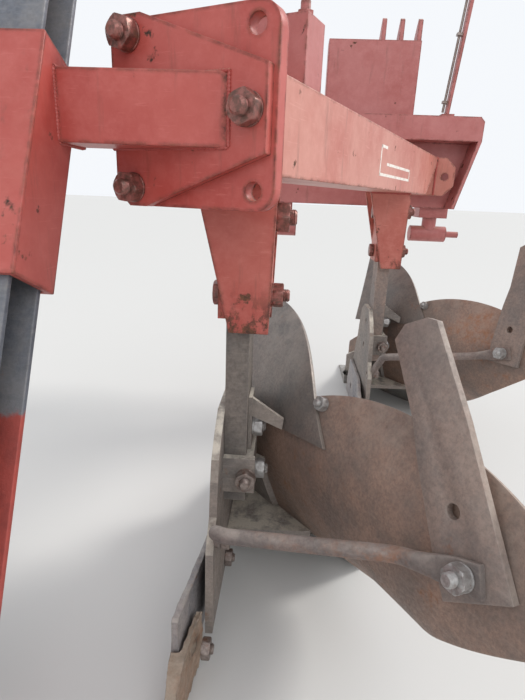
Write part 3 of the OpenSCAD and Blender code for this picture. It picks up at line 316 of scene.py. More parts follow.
def soil_steel(name, dark, brown, dust, grain=60, rust_share=0.5, depth=0.0012, seed=0.0,
               metal=0.2, rough=(0.5, 0.8), painted=None, dusty=0.7, blotches=0.0):
    """Brown steel in layers: dark and brown patches, orange rust, blotches of wet rust, soil
    dried on what looks up (dusty sets how much), rubbed edges. painted is a bare and a painted
    height in metres, with a ragged border between them."""
    f = Finish(name)
    patches = f.mask(f.noise(7, 6, 0.7, shift=seed), 0.35, 0.65)
    colour = f.blend(patches, dark, brown)
    fine = f.mask(f.noise(grain * 2.5, 6, 0.8, shift=seed + 2), 0.3, 0.7)
    colour = f.lay(colour, tuple(0.55 * c for c in dark), fine, 0.5)
    orange = f.mask(f.noise(19, 7, 0.72, shift=seed + 4), 0.66 - 0.12 * rust_share, 0.72)
    colour = f.lay(colour, orange_rust, orange, 0.75)
    wet = f.mask(f.noise(5, 7, 0.7, shift=seed + 12), 0.53, 0.66)
    speckled = f.mask(f.noise(45, 6, 0.75, shift=seed + 14), 0.4, 0.6)
    patchy = f.calc("MULTIPLY", wet, speckled)
    colour = f.lay(colour, wet_rust, patchy, blotches)
    drag = f.mask(f.noise(24, 4, 0.6, (1, 1, 9), seed + 6), 0.55, 0.68)
    colour = f.lay(colour, dust, drag, 0.13)
    looks_up = f.facing_up(0.05, 0.8)
    dried = f.calc("MULTIPLY", looks_up, f.mask(f.noise(28, 6, 0.7, shift=seed + 8), 0.3, 0.7))
    colour = f.lay(colour, dust, dried, dusty)
    bright = f.edges(0.003, 0.9, 80, seed)
    colour = f.lay(colour, rubbed_edge, bright, 0.4)
    roughness = f.between(fine, *rough)
    if painted is not None:
        ragged = f.calc("ADD", f.along(2), f.calc("MULTIPLY", f.noise(30, 6, 0.7, shift=seed), 0.05))
        paint = f.mask(ragged, *painted)
        red = f.blend(f.mask(f.noise(30, 5, 0.7), 0.4, 0.7), worn_red, shaded_red)
        colour = f.blend(paint, colour, red)
    height = f.calc("ADD", f.calc("MULTIPLY", fine, 0.35),
                   f.calc("MULTIPLY", f.noise(grain, 7, 0.7, shift=seed + 10), 0.6))
    return f.finish(colour, roughness, height, depth, 0.7, metal)


shank_steel = soil_steel("shank_steel", (0.135, 0.125, 0.118), (0.225, 0.19, 0.165),
                         (0.36, 0.31, 0.26), 50, 0.35, 0.0012, 1.0, painted=(0.56, 0.568))
board_steel = soil_steel("board_back_steel", (0.215, 0.162, 0.138), (0.40, 0.255, 0.192),
                         (0.42, 0.34, 0.28), 70, 0.6, 0.0009, 2.0, rough=(0.42, 0.7),
                         blotches=0.8)
trash_steel = soil_steel("trashboard_steel", (0.15, 0.138, 0.132), (0.245, 0.195, 0.17),
                         (0.34, 0.30, 0.26), 80, 0.25, 0.0005, 3.0, 0.25, (0.35, 0.6))
tail_steel = soil_steel("tail_plate_steel", (0.225, 0.188, 0.172), (0.365, 0.265, 0.22),
                        (0.42, 0.36, 0.31), 60, 0.4, 0.0009, 4.0)
cast_steel = soil_steel("frog_cast_steel", (0.235, 0.21, 0.195), (0.35, 0.29, 0.25),
                        (0.64, 0.585, 0.50), 45, 0.3, 0.004, 5.0, 0.05, (0.6, 0.9), dusty=1.4)
# The landside's greys lean blue: scratched steel, with a painted reflection of the sky on it.
land_steel = soil_steel("landside_steel", (0.24, 0.235, 0.25), (0.38, 0.335, 0.32),
                        (0.48, 0.43, 0.38), 50, 0.4, 0.0014, 6.0, 0.25, (0.4, 0.7))
heel_steel = soil_steel("heel_steel", (0.27, 0.215, 0.165), (0.42, 0.295, 0.215),
                        (0.50, 0.43, 0.35), 40, 0.8, 0.003, 7.0, 0.1, (0.6, 0.9), blotches=0.5)
rod_steel = soil_steel("brace_rod_steel", (0.165, 0.14, 0.132), (0.27, 0.205, 0.18),
                       (0.40, 0.35, 0.31), 70, 0.6, 0.0012, 9.0, blotches=0.5)

# %% [markdown]
# Where soil slides over a mouldboard's face it is polished like a tool. Plain smooth metal would
# look new, so long fine streaks that follow the furrow slice and a thin breath of rust, as after
# one wet night, are laid over it.

# %% Polished working face
def polished_steel():
    """Scoured steel with long fine scratches and a breath of rust."""
    f = Finish("scoured_face_steel")
    streaks = f.mask(f.noise(40, 5, 0.65, (0.5, 0.5, 7)), 0.35, 0.7)
    colour = f.blend(streaks, (0.35, 0.335, 0.315), (0.25, 0.225, 0.20))
    breath = f.mask(f.noise(9, 7, 0.72), 0.52, 0.7)
    colour = f.lay(colour, (0.27, 0.15, 0.085), breath, 0.7)
    rough = f.between(breath, 0.38, 0.66)
    return f.finish(colour, rough, streaks, 0.0003, 0.5, 0.75)


scoured_steel = polished_steel()

# %% [markdown]
# Nuts and threads are grey and oily, and rust starts in their pores. One grey for all would
# hide that some were painted over and some changed last season, so the same recipe makes
# bright, dull and painted ones.

# %% Fastener steel
pore_rust = (0.20, 0.085, 0.045)


def fastener_steel(name, light, dark, rust=0.3, seed=0.0):
    """Grey nut steel with rust in its pores."""
    f = Finish(name)
    colour = f.blend(f.mask(f.noise(120, 5, 0.7, shift=seed), 0.35, 0.65), light, dark)
    spots = f.mask(f.noise(60, 6, 0.7, shift=seed + 2), 0.64 - 0.16 * rust, 0.7)
    colour = f.lay(colour, pore_rust, spots, 0.8)
    rough = f.between(spots, 0.38, 0.8)
    return f.finish(colour, rough, f.noise(300, 4, 0.6), 0.0004, 0.6, 0.5)


bright_nuts = fastener_steel("bright_nut_steel", (0.42, 0.41, 0.40), (0.27, 0.25, 0.24), 0.2, 1.0)
dull_nuts = fastener_steel("dull_nut_steel", (0.30, 0.25, 0.225), (0.17, 0.13, 0.115), 0.7, 2.0)
painted_nuts = fastener_steel("painted_nut_steel", (0.34, 0.135, 0.115), (0.14, 0.075, 0.06), 0.5, 3.0)

# %% [markdown]
# The wheel post is grey rolled channel, painted at its foot: soil-worn steel in colder colours.
# The tyre is dark matt rubber with dust in clouds. Modelled grains of dust would look the same
# and cost far more.

# %% Post steel and rubber
def rubber():
    """Grey-black tyre rubber under clouds of dust."""
    f = Finish("tyre_rubber")
    dust = f.mask(f.noise(22, 6, 0.7), 0.4, 0.75)
    colour = f.blend(f.calc("MULTIPLY", dust, 0.5), (0.028, 0.028, 0.03), (0.19, 0.16, 0.13))
    return f.finish(colour, 0.78, f.noise(160, 5, 0.6), 0.0008, 0.6)


post_steel = soil_steel("wheel_post_steel", (0.125, 0.14, 0.17), (0.20, 0.21, 0.24),
                        (0.36, 0.33, 0.30), 60, 0.2, 0.0006, 8.0, 0.25, (0.4, 0.65),
                        painted=(0.50, 0.488))
tyre_rubber = rubber()

# %% [markdown]
# Nuts, threads, boards and beads all have a formula. Booleans or modelling by hand would leave
# uneven faces. So every new piece is a grid of points, rows along one direction and columns
# along another or round an axis, worked out with numpy as whole arrays. Where a row shrinks to
# one point, as at a bolt's end, its equal points are merged, so that the shell is closed.

# %% Pieces from grids of points
same_point = 2e-6


def grid_faces(rows, columns, wrap=False):
    """Four-cornered faces between a grid's neighbours; wrap joins the last column to the first."""
    corner = np.arange(rows * columns).reshape(rows, columns)
    beside = np.roll(corner, -1, axis=1)
    if not wrap:
        corner, beside = corner[:, :-1], beside[:, :-1]
    return np.stack([corner[:-1], beside[:-1], beside[1:], corner[1:]], axis=-1).reshape(-1, 4)


def make_piece(name, grids, finish, body="frame", wrap=True, crease=35):
    """One mesh object from a list of grids, each an array of rows by columns by 3, in metres."""
    points, faces, start = [], [], 0
    for grid in grids:
        points.append(grid.reshape(-1, 3))
        faces.append(grid_faces(grid.shape[0], grid.shape[1], wrap) + start)
        start += len(points[-1])
    mesh = bpy.data.meshes.new(name)
    mesh.from_pydata(np.concatenate(points).tolist(), [], np.concatenate(faces).tolist())
    shell = bmesh.new()
    shell.from_mesh(mesh)
    bmesh.ops.remove_doubles(shell, verts=shell.verts, dist=same_point)
    shell.to_mesh(mesh)
    shell.free()
    mesh.shade_smooth()
    mesh.set_sharp_from_angle(angle=math.radians(crease))
    mesh.materials.append(finish)
    piece = put_in_scene(name, mesh)
    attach(piece, body)
    print(name, "faces", len(mesh.polygons))
    return piece


def unit(rows):
    """Each row divided by its length."""
    return rows / np.linalg.norm(rows, axis=-1, keepdims=True)


def about(axis):
    """Two directions square to an axis and to each other, then the axis itself, as rows."""
    axis = unit(np.asarray(axis, float))
    side = unit(np.cross(axis, (0, 0, 1) if abs(axis[2]) < 0.9 else (1, 0, 0)))
    return np.array([side, np.cross(axis, side), axis])


def turned(radius, height, angle, centre, axis):
    """Points centre + radius (cos angle, sin angle) + height along the axis."""
    radius, height, angle = np.broadcast_arrays(radius, height, angle)
    local = np.stack([radius * np.cos(angle), radius * np.sin(angle), height], axis=-1)
    return np.asarray(centre) + local @ about(axis)


def round_angles(count):
    """Equal angles round a full turn, as one row."""
    return np.linspace(0, 2 * math.pi, count, endpoint=False)[None, :]


print("points closer than", same_point, "m are merged")

# %% [markdown]
# Places are counted as in the CAD source, in millimetres from the rear shank's middle on the
# ground. The beam lies skewed over the bodies and the wheel post leans. Parts could be turned
# one by one afterwards, but a small frame of reference for each lets a seat be written straight.

# %% Frames of reference
def shank_foot(name):
    """Middle of a shank's box, on the ground, in metres."""
    low, high = (np.array(corner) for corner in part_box(name))
    return np.array([(low[0] + high[0]) / 2, (low[1] + high[1]) / 2, 0.0])


home = shank_foot("rear_shank")
foot_of = {"rear": home, "front": shank_foot("front_shank")}
step = foot_of["front"] - home
beam_angle = math.atan2(step[0], step[1])
rake = math.radians(25)
beam_right_of_shank = 23
sleeve_middle = (-258, -183, 728)


def placed(points, foot=home):
    """Millimetres from a shank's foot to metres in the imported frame."""
    return np.asarray(points, float) / 1000 + foot


def on_beam(points):
    """X right of the beam's axis and Y along it, turned by the beam's angle about the upright."""
    x, y, z = np.moveaxis(np.asarray(points, float), -1, 0)
    c, s = math.cos(beam_angle), math.sin(beam_angle)
    return placed(np.stack([x * c + y * s + beam_right_of_shank, y * c - x * s, z], axis=-1))


def on_post(points):
    """Z up the leaning post from the sleeve's middle, leaned by the rake about X."""
    x, y, z = np.moveaxis(np.asarray(points, float), -1, 0)
    c, s = math.cos(rake), math.sin(rake)
    return placed(np.stack([x, y * c + z * s, z * c - y * s], axis=-1) + sleeve_middle)


beam_forward = np.array([math.sin(beam_angle), math.cos(beam_angle), 0])
print("beam angle", round(math.degrees(beam_angle), 2), "rear shank at", home.round(4))

# %% [markdown]
# The mouldboard is the heart of a plough: a twisted sheet that lifts the furrow slice and turns
# it over. Its level lines swing from 42 degrees at the share to 31 higher up, and their reach
# follows a parabola. A sculpted shape would no longer meet the frog behind it, so the CAD
# node's own formula is used, on a finer grid, and light slides over it smoothly.

# %% The mouldboard's surface
share_angle, swing = 42, 11
waist_reach, waist_height, hollow = 76, 300, 0.0021
line_start = 20


def ease(low, high, x):
    """0 below low, 1 above high, 3 t squared less 2 t cubed between."""
    t = np.clip((x - low) / (high - low), 0, 1)
    return t * t * (3 - 2 * t)


def line_angle(z):
    """Angle of the level line at a height: 42 degrees, eased down by 11 from 80 to 230 mm."""
    return np.radians(share_angle - swing * ease(80, 230, z))


def reach_at(z):
    """Where a level line starts: 76 mm and a parabola of 0.0021 per mm about 300 mm height."""
    tilt = math.radians(share_angle - swing)
    curve = waist_reach + hollow * (z - waist_height) ** 2
    return (curve - line_start * math.sin(tilt)) / math.cos(tilt)


def board_normal(z):
    """Across the level line, tipped by the parabola's slope, of unit length."""
    a = line_angle(z)
    return unit(np.stack([np.cos(a), np.sin(a), -2 * hollow * (z - waist_height)], axis=-1))


def board_point(z, length, behind=0.0):
    """Start of the line at height z, plus a length along it, less the depth along the normal."""
    z, length = np.broadcast_arrays(np.asarray(z, float), np.asarray(length, float))
    a = line_angle(z)
    face = np.stack([reach_at(z) + length * np.sin(a), line_start - length * np.cos(a), z], axis=-1)
    return face - behind * board_normal(z)


def shin_line(z):
    """Length at which a line reaches the board's left edge, 20 to 38 mm left of the shank."""
    x = 20 + 18 * ease(-420, -180, -z)
    return (-x - reach_at(z)) / np.sin(line_angle(z))


print("line angle low and high", np.degrees(line_angle(np.array([80, 230]))).round(1))

# %% [markdown]
# A board is cut out of that surface by its outline: left edge, foot on the share, arched top,
# rounded tail. Cutting a finished sheet would leave ragged rims, so the grid itself is
# stretched between those lines and its outer rows are the outline.

# %% Outlines of the two boards
board_length, tail_bulge = 500, 18


def shares(columns, rows):
    """A grid's share of the way across and of the way up, from 0 to 1."""
    return np.meshgrid(np.linspace(0, 1, columns), np.linspace(0, 1, rows))


def board_low(length):
    """The foot's height: level to 60 mm along, then 219 mm times the length's power 1.4."""
    return 88.3 + 219 * (np.maximum(0, length - 60) / 410) ** 1.4


def board_high(length):
    """The top's height: a flat parabola, highest 240 mm along."""
    return 446 - 0.0009 * (length - 240) ** 2


def mouldboard_grid(columns=90, rows=46):
    """u from the left edge to the rounded tail, v from the foot to the top."""
    u, v = shares(columns, rows)
    length = shin_line(148.0) * (1 - u) + board_length * u
    z = board_low(length) + v * (board_high(length) - board_low(length))
    tail = board_length + tail_bulge * (1 - (2 * v - 1) ** 2)
    edge = shin_line(z)
    return z, edge + u * (tail - edge)


def trashboard_grid(columns=70, rows=24):
    """The same, between the trashboard's left edge and its tip, from foot to sloping top."""
    u, v = shares(columns, rows)

    def along(z):
        """Length along the line: from a parabola on the left to the tip, 128 mm on the right."""
        return -(196 + 0.0039 * (z - 330) ** 2) * (1 - u) + 128 * u

    def top(length):
        """Height of the top, falling by the length's power 2.1."""
        return 508 - 159 * (np.maximum(0, length + 260) / 388) ** 2.1

    low = 328 + 0.16 * (along(300) + 9)
    z = low + v * (top(along(top(along(508.0)))) - low)
    return z, along(z)


print("mouldboard from", board_low(0), "to", board_high(240), "mm high")

# %% [markdown]
# The boards are rolled plate, 8 and 6 mm thick. A wall could be made as a second grid behind the
# first, but Solidify does that with one number that stays editable, and Bevel breaks its rim.
# The mouldboard's face is scoured and its back brown; the trashboard is alike on both sides.

# %% Board sheets with their walls
def face_outward(sheet, outward):
    """Turns all faces round if the first one looks away from the given direction."""
    if np.dot(np.array(sheet.data.polygons[0].normal), outward) < 0:
        sheet.data.flip_normals()


edge_width = 0.0016


def rounded(piece, sharper_than):
    """Bevel, 1.6 mm wide, on all edges that turn by more than that angle."""
    edge = piece.modifiers.new("edge", "BEVEL")
    edge.width = edge_width
    edge.segments = 2
    edge.limit_method = "ANGLE"
    edge.angle_limit = math.radians(sharper_than)


def walled(sheet, thickness):
    """Solidify gives a sheet its wall behind the faces, and Bevel rounds the cut rim."""
    wall = sheet.modifiers.new("wall", "SOLIDIFY")
    wall.thickness = thickness / 1000
    wall.offset = -1
    rounded(sheet, 50)
    return wall


def board_piece(name, node, grid, front_depth, thickness, foot, front, back):
    """A board from a grid of heights and lengths, its face that deep behind the surface."""
    z, length = grid
    sheet = make_piece(name, [placed(board_point(z, length, front_depth), foot)], back,
                       wrap=False, crease=60)
    sheet.data.materials.append(front)
    face_outward(sheet, board_normal(z[0, 0]))
    sheet.data.polygons.foreach_set("material_index", np.ones(len(sheet.data.polygons), int))
    wall = walled(sheet, thickness)
    wall.material_offset = -1
    wall.material_offset_rim = -1
    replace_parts(sheet, node)


for side, foot in foot_of.items():
    board_piece(side + "_twisted_board", side + "_mouldboard", mouldboard_grid(), 0, 8, foot,
                scoured_steel, board_steel)
    board_piece(side + "_upper_board", side + "_trashboard", trashboard_grid(), 8.3, 6, foot,
                trash_steel, trash_steel)

# %% [markdown]
# Nuts are what the eye checks first on a machine. A real hexagon nut is turned before it is
# cut, so its corners run out in round chamfers. A six-sided cylinder would miss them, so here a
# turned piece takes as its radius the smaller of the hexagon's and a cone's.

# %% Nuts, bolt heads and washers
def round_bore(shell):
    """The last row joined to the first again, which gives the hole its wall."""
    return np.concatenate([shell, shell[:1]])


def hexagon(size, height, centre, axis, turn=0.0, bore=0.5):
    """Nut or head on a bolt of that size: radius is the least of hexagon, chamfer and bore."""
    corner = 0.98 * size
    angle = round_angles(60)
    flats = 0.866 * corner / np.cos((angle + turn) % (math.pi / 3) - math.pi / 6)
    limit = np.array([bore * size, 0.9 * corner, 0.955 * corner, corner, corner, 0.955 * corner,
                      0.89 * corner, bore * size])[:, None]
    rise = np.array([0, 0, 0.05, 0.11, 0.89, 0.95, 1, 1])[:, None] * height
    shell = turned(np.minimum(flats, limit), rise, angle, centre, axis)
    return round_bore(shell) if bore else shell


def washer(size, height, centre, axis, width=1.85):
    """A flat ring with its outer edges broken."""
    radius = np.array([0.5, width / 2 - 0.03, width / 2, width / 2, width / 2 - 0.03, 0.5])[:, None]
    rise = np.array([0, 0, 0.15, 0.85, 1, 1])[:, None] * height
    return round_bore(turned(radius * size, rise, round_angles(48), centre, axis))


def bolt_head(seat, axis, size, turn=0.0):
    """A hexagon without a hole; size in millimetres."""
    return [hexagon(size / 1000, 0.00065 * size, np.asarray(seat), axis, turn, bore=0.0)]


print("a nut has", hexagon(0.02, 0.016, (0, 0, 0), (0, 0, 1)).shape[:2], "rows and columns")

# %% [markdown]
# The stud that stands out of a nut carries a helical thread. Stacked rings would look like one
# from afar, but they don't climb. In a true thread the radius follows a wave of height and angle
# together, and that costs no more points.

# %% Threaded ends and sets of washer, nut and stud
def thread(size, length, centre, axis, pitch=0.0024):
    """Radius less half a pitch times a wave of height over pitch less angle over a full turn."""
    angle = round_angles(32)
    rise = np.linspace(0, length, int(length / pitch * 8) + 2)[:, None]
    wave = 0.5 + 0.5 * np.cos(2 * math.pi * rise / pitch - angle)
    radius = size / 2 - 0.5 * pitch * wave * 0.8
    radius = np.minimum(radius, 0.36 * size + (length - rise))
    tip = np.zeros((1, 32))
    rise = np.vstack([rise[:1], rise, rise[-1:]])
    return turned(np.vstack([tip, radius, tip]), rise, angle, centre, axis)


def nut_set(seat, axis, size, stand_out=0.5, with_washer=True, turn=0.0):
    """Washer, nut and threaded end along an axis; sizes in millimetres."""
    size, seat, axis = size / 1000, np.asarray(seat), about(axis)[2]
    ring = 0.15 * size if with_washer else 0.0
    parts = [washer(size, ring, seat, axis)] if with_washer else []
    parts.append(hexagon(size, 0.8 * size, seat + ring * axis, axis, turn))
    end = ring + (0.8 + stand_out) * size
    parts.append(thread(size, end, seat, axis))
    return parts


print("a full set has", len(nut_set((0, 0, 0), (0, 0, 1), 20)), "shells")

# %% [markdown]
# The rear flange carries three bolts in its five holes; two stay free for another tool. Nuts
# could be copied by hand, but a short table of places is easier to check against the drawing.
# No two nuts on a machine stop at the same angle, so each here has its own turn.

# %% Bolts of the flange
flange_x, flange_z, flange_back, flange_front = -19, 797, -153.1, -118.9
flange_spots = [(-83, 85, 0.3), (-83, -85, 0.1), (83, 0, 0.7)]  # right, up, turn
grids = []
for x, z, turn in flange_spots:
    seat = on_beam((flange_x + x, flange_back, flange_z + z))
    grids += nut_set(seat, -beam_forward, 20, 0.5, True, turn)
    if x < 0:
        head_seat = on_beam((flange_x + x, flange_front, flange_z + z))
        grids += bolt_head(head_seat, beam_forward, 20, turn)
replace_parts(make_piece("flange_nuts", grids, painted_nuts), "flange_bolts")

# %% [markdown]
# Each body hangs on a pivot bolt and a thinner shear bolt, which breaks when the share hits a
# stone. Both bodies are alike, so the tables are written once and placed at each shank's foot.
# The nuts on the leg were painted over, those on frog and board are newer, the rest are dull.

# %% Bolts of the two bodies
right, left, back = (1, 0, 0), (-1, 0, 0), (0, -1, 0)
leg_table = [  # seat in mm, axis, bolt diameter, stud's stand-out
    ((46.1, 0, 679), right, 24, 0.45), ((46.1, 0, 562), right, 20, 0.5),
    ((24.5, 0, 337), right, 18, 0.3), ((30.5, 0, 256), right, 18, 0.3),
    ((20, -54.2, 269), back, 18, 0.5)]
head_table = [((-30.3, 0, 679), left, 24), ((-30.3, 0, 562), left, 20)]
collar_table = [((18.2, 0, 679), 24), ((18.2, 0, 562), 20)]
side_table = [((-17.8, 0, 62), 16), ((-17.8, 120, 62), 16), ((-26.3, -194, 62), 16),
              ((-8.8, -118, 198), 16)]
for side, foot in foot_of.items():
    sets = [nut_set(placed(seat, foot), axis, size, stand_out, True, 0.4 * k)
            for k, (seat, axis, size, stand_out) in enumerate(leg_table)]
    grids = sets[0] + sets[1]
    for seat, axis, size in head_table:
        grids += bolt_head(placed(seat, foot), axis, size, 0.2)
    for seat, size in collar_table:
        grids.append(washer(size / 1000, 0.0156, placed(seat, foot), right, 2.0))
    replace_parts(make_piece(side + "_leg_nuts", grids, painted_nuts), side + "_leg_bolts")
    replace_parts(make_piece(side + "_frog_nuts", sets[2] + sets[3], bright_nuts), side + "_leg_bolts")
    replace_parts(make_piece(side + "_clamp_nut", sets[4], dull_nuts), side + "_leg_bolts")
    grids = []
    for seat, size in side_table:
        grids += nut_set(placed(seat, foot), right, size, 0.3, False, 0.3)
    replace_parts(make_piece(side + "_side_nuts", grids, dull_nuts), side + "_board_bolts")
    grids = []
    small, tail = (402.0, 80.0, 8.4, 12), (345.0, 398.0, 27.4, 16)  # height, along, depth, size
    for z, length, depth, size in (small, tail):
        grids += nut_set(placed(board_point(z, length, depth), foot), -board_normal(z), size, 0.6)
    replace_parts(make_piece(side + "_board_nuts", grids, bright_nuts), side + "_board_bolts")

# %% [markdown]
# The brace rod is one forged bar: flat on the frog, round along its run, flat again on the tail
# plate. A round bar joined to flat plates would show a step that no smith leaves. So its cross
# section is a superellipse, whose power goes from 2, a circle, to 6, nearly a rectangle.

# %% The brace rod
spread = 11


def length_run(points):
    """Length of a path up to each of its points."""
    return np.concatenate([[0], np.cumsum(np.linalg.norm(np.diff(points, axis=0), axis=1))])


def resampled(rows, run, at):
    """Every column of the rows, which stand at the lengths run, read at other lengths."""
    return np.stack([np.interp(at, run, column) for column in rows.T], axis=-1)


def blurred(rows):
    """Each column averaged over its neighbours, carried straight on beyond both ends."""
    ends = ((spread // 2, spread // 2), (0, 0))
    padded = np.pad(rows, ends, mode="reflect", reflect_type="odd")
    total = np.cumsum(np.vstack([np.zeros((1, rows.shape[1])), padded]), axis=0)
    return (total[spread:] - total[:-spread]) / spread


def forged_bar(stations, count=170):
    """Stations of place, half width, half thickness, power and flat side's direction, joined up."""
    stations = np.asarray(stations, float)
    run = length_run(stations[:, :3])
    rows = blurred(resampled(stations, run, np.linspace(0, run[-1], count)))
    place, (half_w, half_t, power), flat = rows[:, :3], rows[:, 3:6].T, rows[:, 6:9]
    ahead = unit(np.gradient(place, axis=0))
    flat = unit(flat - np.sum(flat * ahead, axis=1, keepdims=True) * ahead)
    wide = np.cross(ahead, flat)
    c, s = np.cos(round_angles(32)), np.sin(round_angles(32))
    e = 2 / power[:, None]
    across = (half_w[:, None] * np.sign(c) * np.abs(c) ** e)[..., None] * wide[:, None]
    thick = (half_t[:, None] * np.sign(s) * np.abs(s) ** e)[..., None] * flat[:, None]
    ring = place[:, None] + across + thick
    tips = np.repeat(ring.mean(axis=1, keepdims=True), 32, axis=1)
    return np.concatenate([tips[:1], ring, tips[-1:]])[::-1]


print("each change of section is spread over", spread, "rows")

# %% [markdown]
# The rod runs from the frog's lower bolt, round a bend, to the tail plate's bolt. Its stations
# are counted from these and not typed as places, so it still meets its bolts if one is moved.

# %% The rod's stations
tail_nut, tail_normal = (345.0, 398.0), board_normal(345.0)
side_face = -18.0
bend = np.array([side_face + 12, -210, 282])
reach_end = board_point(*tail_nut, 29.2)
ahead = unit((reach_end - bend) - np.dot(reach_end - bend, tail_normal) * tail_normal)
bolt_end = board_point(*tail_nut, 22.8)
foot_line = np.array([0, -0.71, 0.704])
foot_bolt = np.array([side_face + 4.6, -118, 198])
bent_foot = [  # place, half width, half thickness, power, direction of the flat side
    (*(foot_bolt - 16 * foot_line), 13, 4.2, 5, 1, 0, 0), (*foot_bolt, 15, 4.3, 5, 1, 0, 0),
    (*(foot_bolt + 34 * foot_line), 14, 4.6, 4, 1, 0, 0),
    (*(foot_bolt + 66 * foot_line + (5, 0, 0)), 11, 8.6, 2.4, 1, 0, 0),
    (*(bend + (0, 14, -13)), 10, 10, 2, 1, 0, 0), (*bend, 10, 10, 2, 0.97, 0.2, -0.1)]
bar_run = [
    (*(bend + 20 * ahead), 10, 10, 2, *tail_normal),
    (*(reach_end - 84 * ahead), 10, 10, 2, *tail_normal),
    (*(reach_end - 58 * ahead), 10.4, 9.6, 2.2, *tail_normal),
    (*(bolt_end - 36 * ahead - 2.6 * tail_normal), 13, 6.6, 3, *tail_normal),
    (*(bolt_end - 20 * ahead), 16, 4.4, 4.5, *tail_normal), (*bolt_end, 17, 4.2, 6, *tail_normal),
    (*(bolt_end + 20 * ahead), 17, 4.2, 6, *tail_normal)]
for side, foot in foot_of.items():
    bar = placed(forged_bar(bent_foot + bar_run), foot)
    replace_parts(make_piece(side + "_forged_rod", [bar], rod_steel, crease=50), side + "_brace_rod")

# %% [markdown]
# The lifting screw's coarse thread shows between the post's flanges. The CAD node has turned
# ribs, enough for its size but not for the eye. Here the thread climbs, and its wave is squared
# off, so the crests are broad as on a real adjusting spindle.

# %% The lifting screw
def spindle(length, outer, depth, pitch):
    """Radius is the core's, plus the depth where height over pitch less the turn is a crest."""
    angle = round_angles(28)
    rise = np.linspace(0, length, int(length / pitch * 9) + 2)[:, None]
    phase = (rise / pitch - angle / (2 * math.pi)) % 1.0
    crest = np.clip(4.5 * (0.5 - np.abs(phase - 0.5)) - 0.6, 0, 1)
    run_out = np.clip((length - rise) / (2 * pitch), 0, 1)
    return outer - depth + depth * crest * run_out, rise, angle


threaded, whole = 0.636, 0.756
stem_size = 0.0125
post_axis = np.array([0, math.sin(rake), math.cos(rake)])
radius, rise, angle = spindle(threaded, outer=0.015, depth=0.0025, pitch=0.007)
screw_start = on_post((0, -5, -324))
screw = turned(radius, rise, angle, screw_start, post_axis)
foot_cap = turned(np.zeros((1, 28)), 0.0, angle, screw_start, post_axis)
stem_radius = np.array([stem_size, stem_size, 0.0])[:, None]
stem_rise = np.array([threaded, whole, whole])[:, None]
stem = turned(stem_radius, stem_rise, angle, screw_start, post_axis)
screw_piece = make_piece("threaded_spindle", [np.concatenate([foot_cap, screw, stem])], dull_nuts,
                         "wheel_leg")
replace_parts(screw_piece, "lifting_screw")

# %% [markdown]
# The post is a rolled channel that opens to the right, with the screw between its flanges. A box
# with a groove cut out would have sharp bends. So one line round three sides is carried up the
# post, and Solidify gives it the plate's thickness inward. The CAD node opens to the rear, and
# this piece takes its place inside the same box.

# %% The channel post
def slab(corners, low, high):
    """Closed plate on an outline in x and y: its middle, the outline twice, its middle again."""
    outline = np.asarray(corners, float)
    middle = np.repeat(outline.mean(axis=0)[None], len(outline), axis=0)
    rows = [np.column_stack([points, np.full(len(outline), height)])
            for points, height in ((middle, low), (outline, low), (outline, high), (middle, high))]
    return np.stack(rows)


def channel_line(width, depth, corner=9.0):
    """Points round three sides of a channel open to +X, the two bends as quarter circles."""
    quarter = np.radians(np.linspace(0, 90, 6))
    near = np.stack([-width / 2 + corner * (1 - np.sin(quarter)),
                     -depth / 2 + corner * (1 - np.cos(quarter))], axis=-1)
    far = near[::-1] * (1, -1)
    start, end = np.array([[width / 2, -depth / 2]]), np.array([[width / 2, depth / 2]])
    return np.concatenate([start, near, far, end])


post_width, post_depth, post_wall = 95.0, 67.0, 8
post_foot, post_top, head_top = -547.4, 372.0, 384.0
post_line = channel_line(post_width, post_depth)
post_heights = np.linspace(post_foot, post_top, 24)
line_3d = np.concatenate([np.repeat(post_line[None], len(post_heights), axis=0),
                          np.repeat(post_heights[:, None, None], len(post_line), axis=1)], axis=2)
open_post = make_piece("open_channel_post", [on_post(line_3d)], post_steel, "wheel_leg", wrap=False)
face_outward(open_post, (0, -math.cos(rake), math.sin(rake)))
walled(open_post, post_wall)
half_x, half_y = post_width / 2, post_depth / 2
head_corners = [(-half_x, -half_y), (half_x, -half_y), (half_x, half_y), (-half_x, half_y)]
post_head = slab(head_corners, post_top, head_top)
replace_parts(open_post, "wheel_post")
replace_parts(make_piece("post_head_plate", [on_post(post_head)], post_steel, "wheel_leg"), "wheel_post")

# %% [markdown]
# The depth wheel's tyre has ribs broken up by cross cuts, and its sidewall bulges over the rim.
# Blocks could be modelled one by one and bent round a circle. Here the tyre is one turned
# surface whose radius dips in the grooves. Its profile is written for one half and mirrored.

# %% The tyre
def tyre(centre, columns=216):
    """A turned profile of half width and radius, lowered by grooves round and across."""
    half_across = np.array([40.2, 50.1, 58, 62, 65, 65, 64, 61, 56, 51, 47, 43, 35, 29, 27.5,
                            24.5, 23, 17, 9, 5.5, 4])
    half_radius = np.array([150.6, 164.4, 165, 175, 188, 200, 216, 228, 239, 244, 246.5, 248.5,
                            250, 250, 242, 242, 250, 250, 250, 250, 242])
    across = np.concatenate([-half_across, half_across[::-1]])
    radius = np.concatenate([half_radius, half_radius[::-1]])
    angle = round_angles(columns)
    cuts_round, cut_share, cut_above, cut_depth = 36, 0.09, 243, 5.0
    cut = np.abs((angle * cuts_round / (2 * math.pi)) % 1.0 - 0.5) < cut_share
    outside = (radius > cut_above)[:, None]
    depth = np.where(cut & outside, cut_depth, 0.0)
    ring = turned((radius[:, None] - depth) / 1000, across[:, None] / 1000, angle, centre, right)
    return np.concatenate([ring, ring[:1]])


low, high = (np.array(corner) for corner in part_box("wheel_tyre"))
tyre_piece = make_piece("ribbed_tyre", [tyre((low + high) / 2)], tyre_rubber, "wheel",
                        crease=50)
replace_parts(tyre_piece, "wheel_tyre")

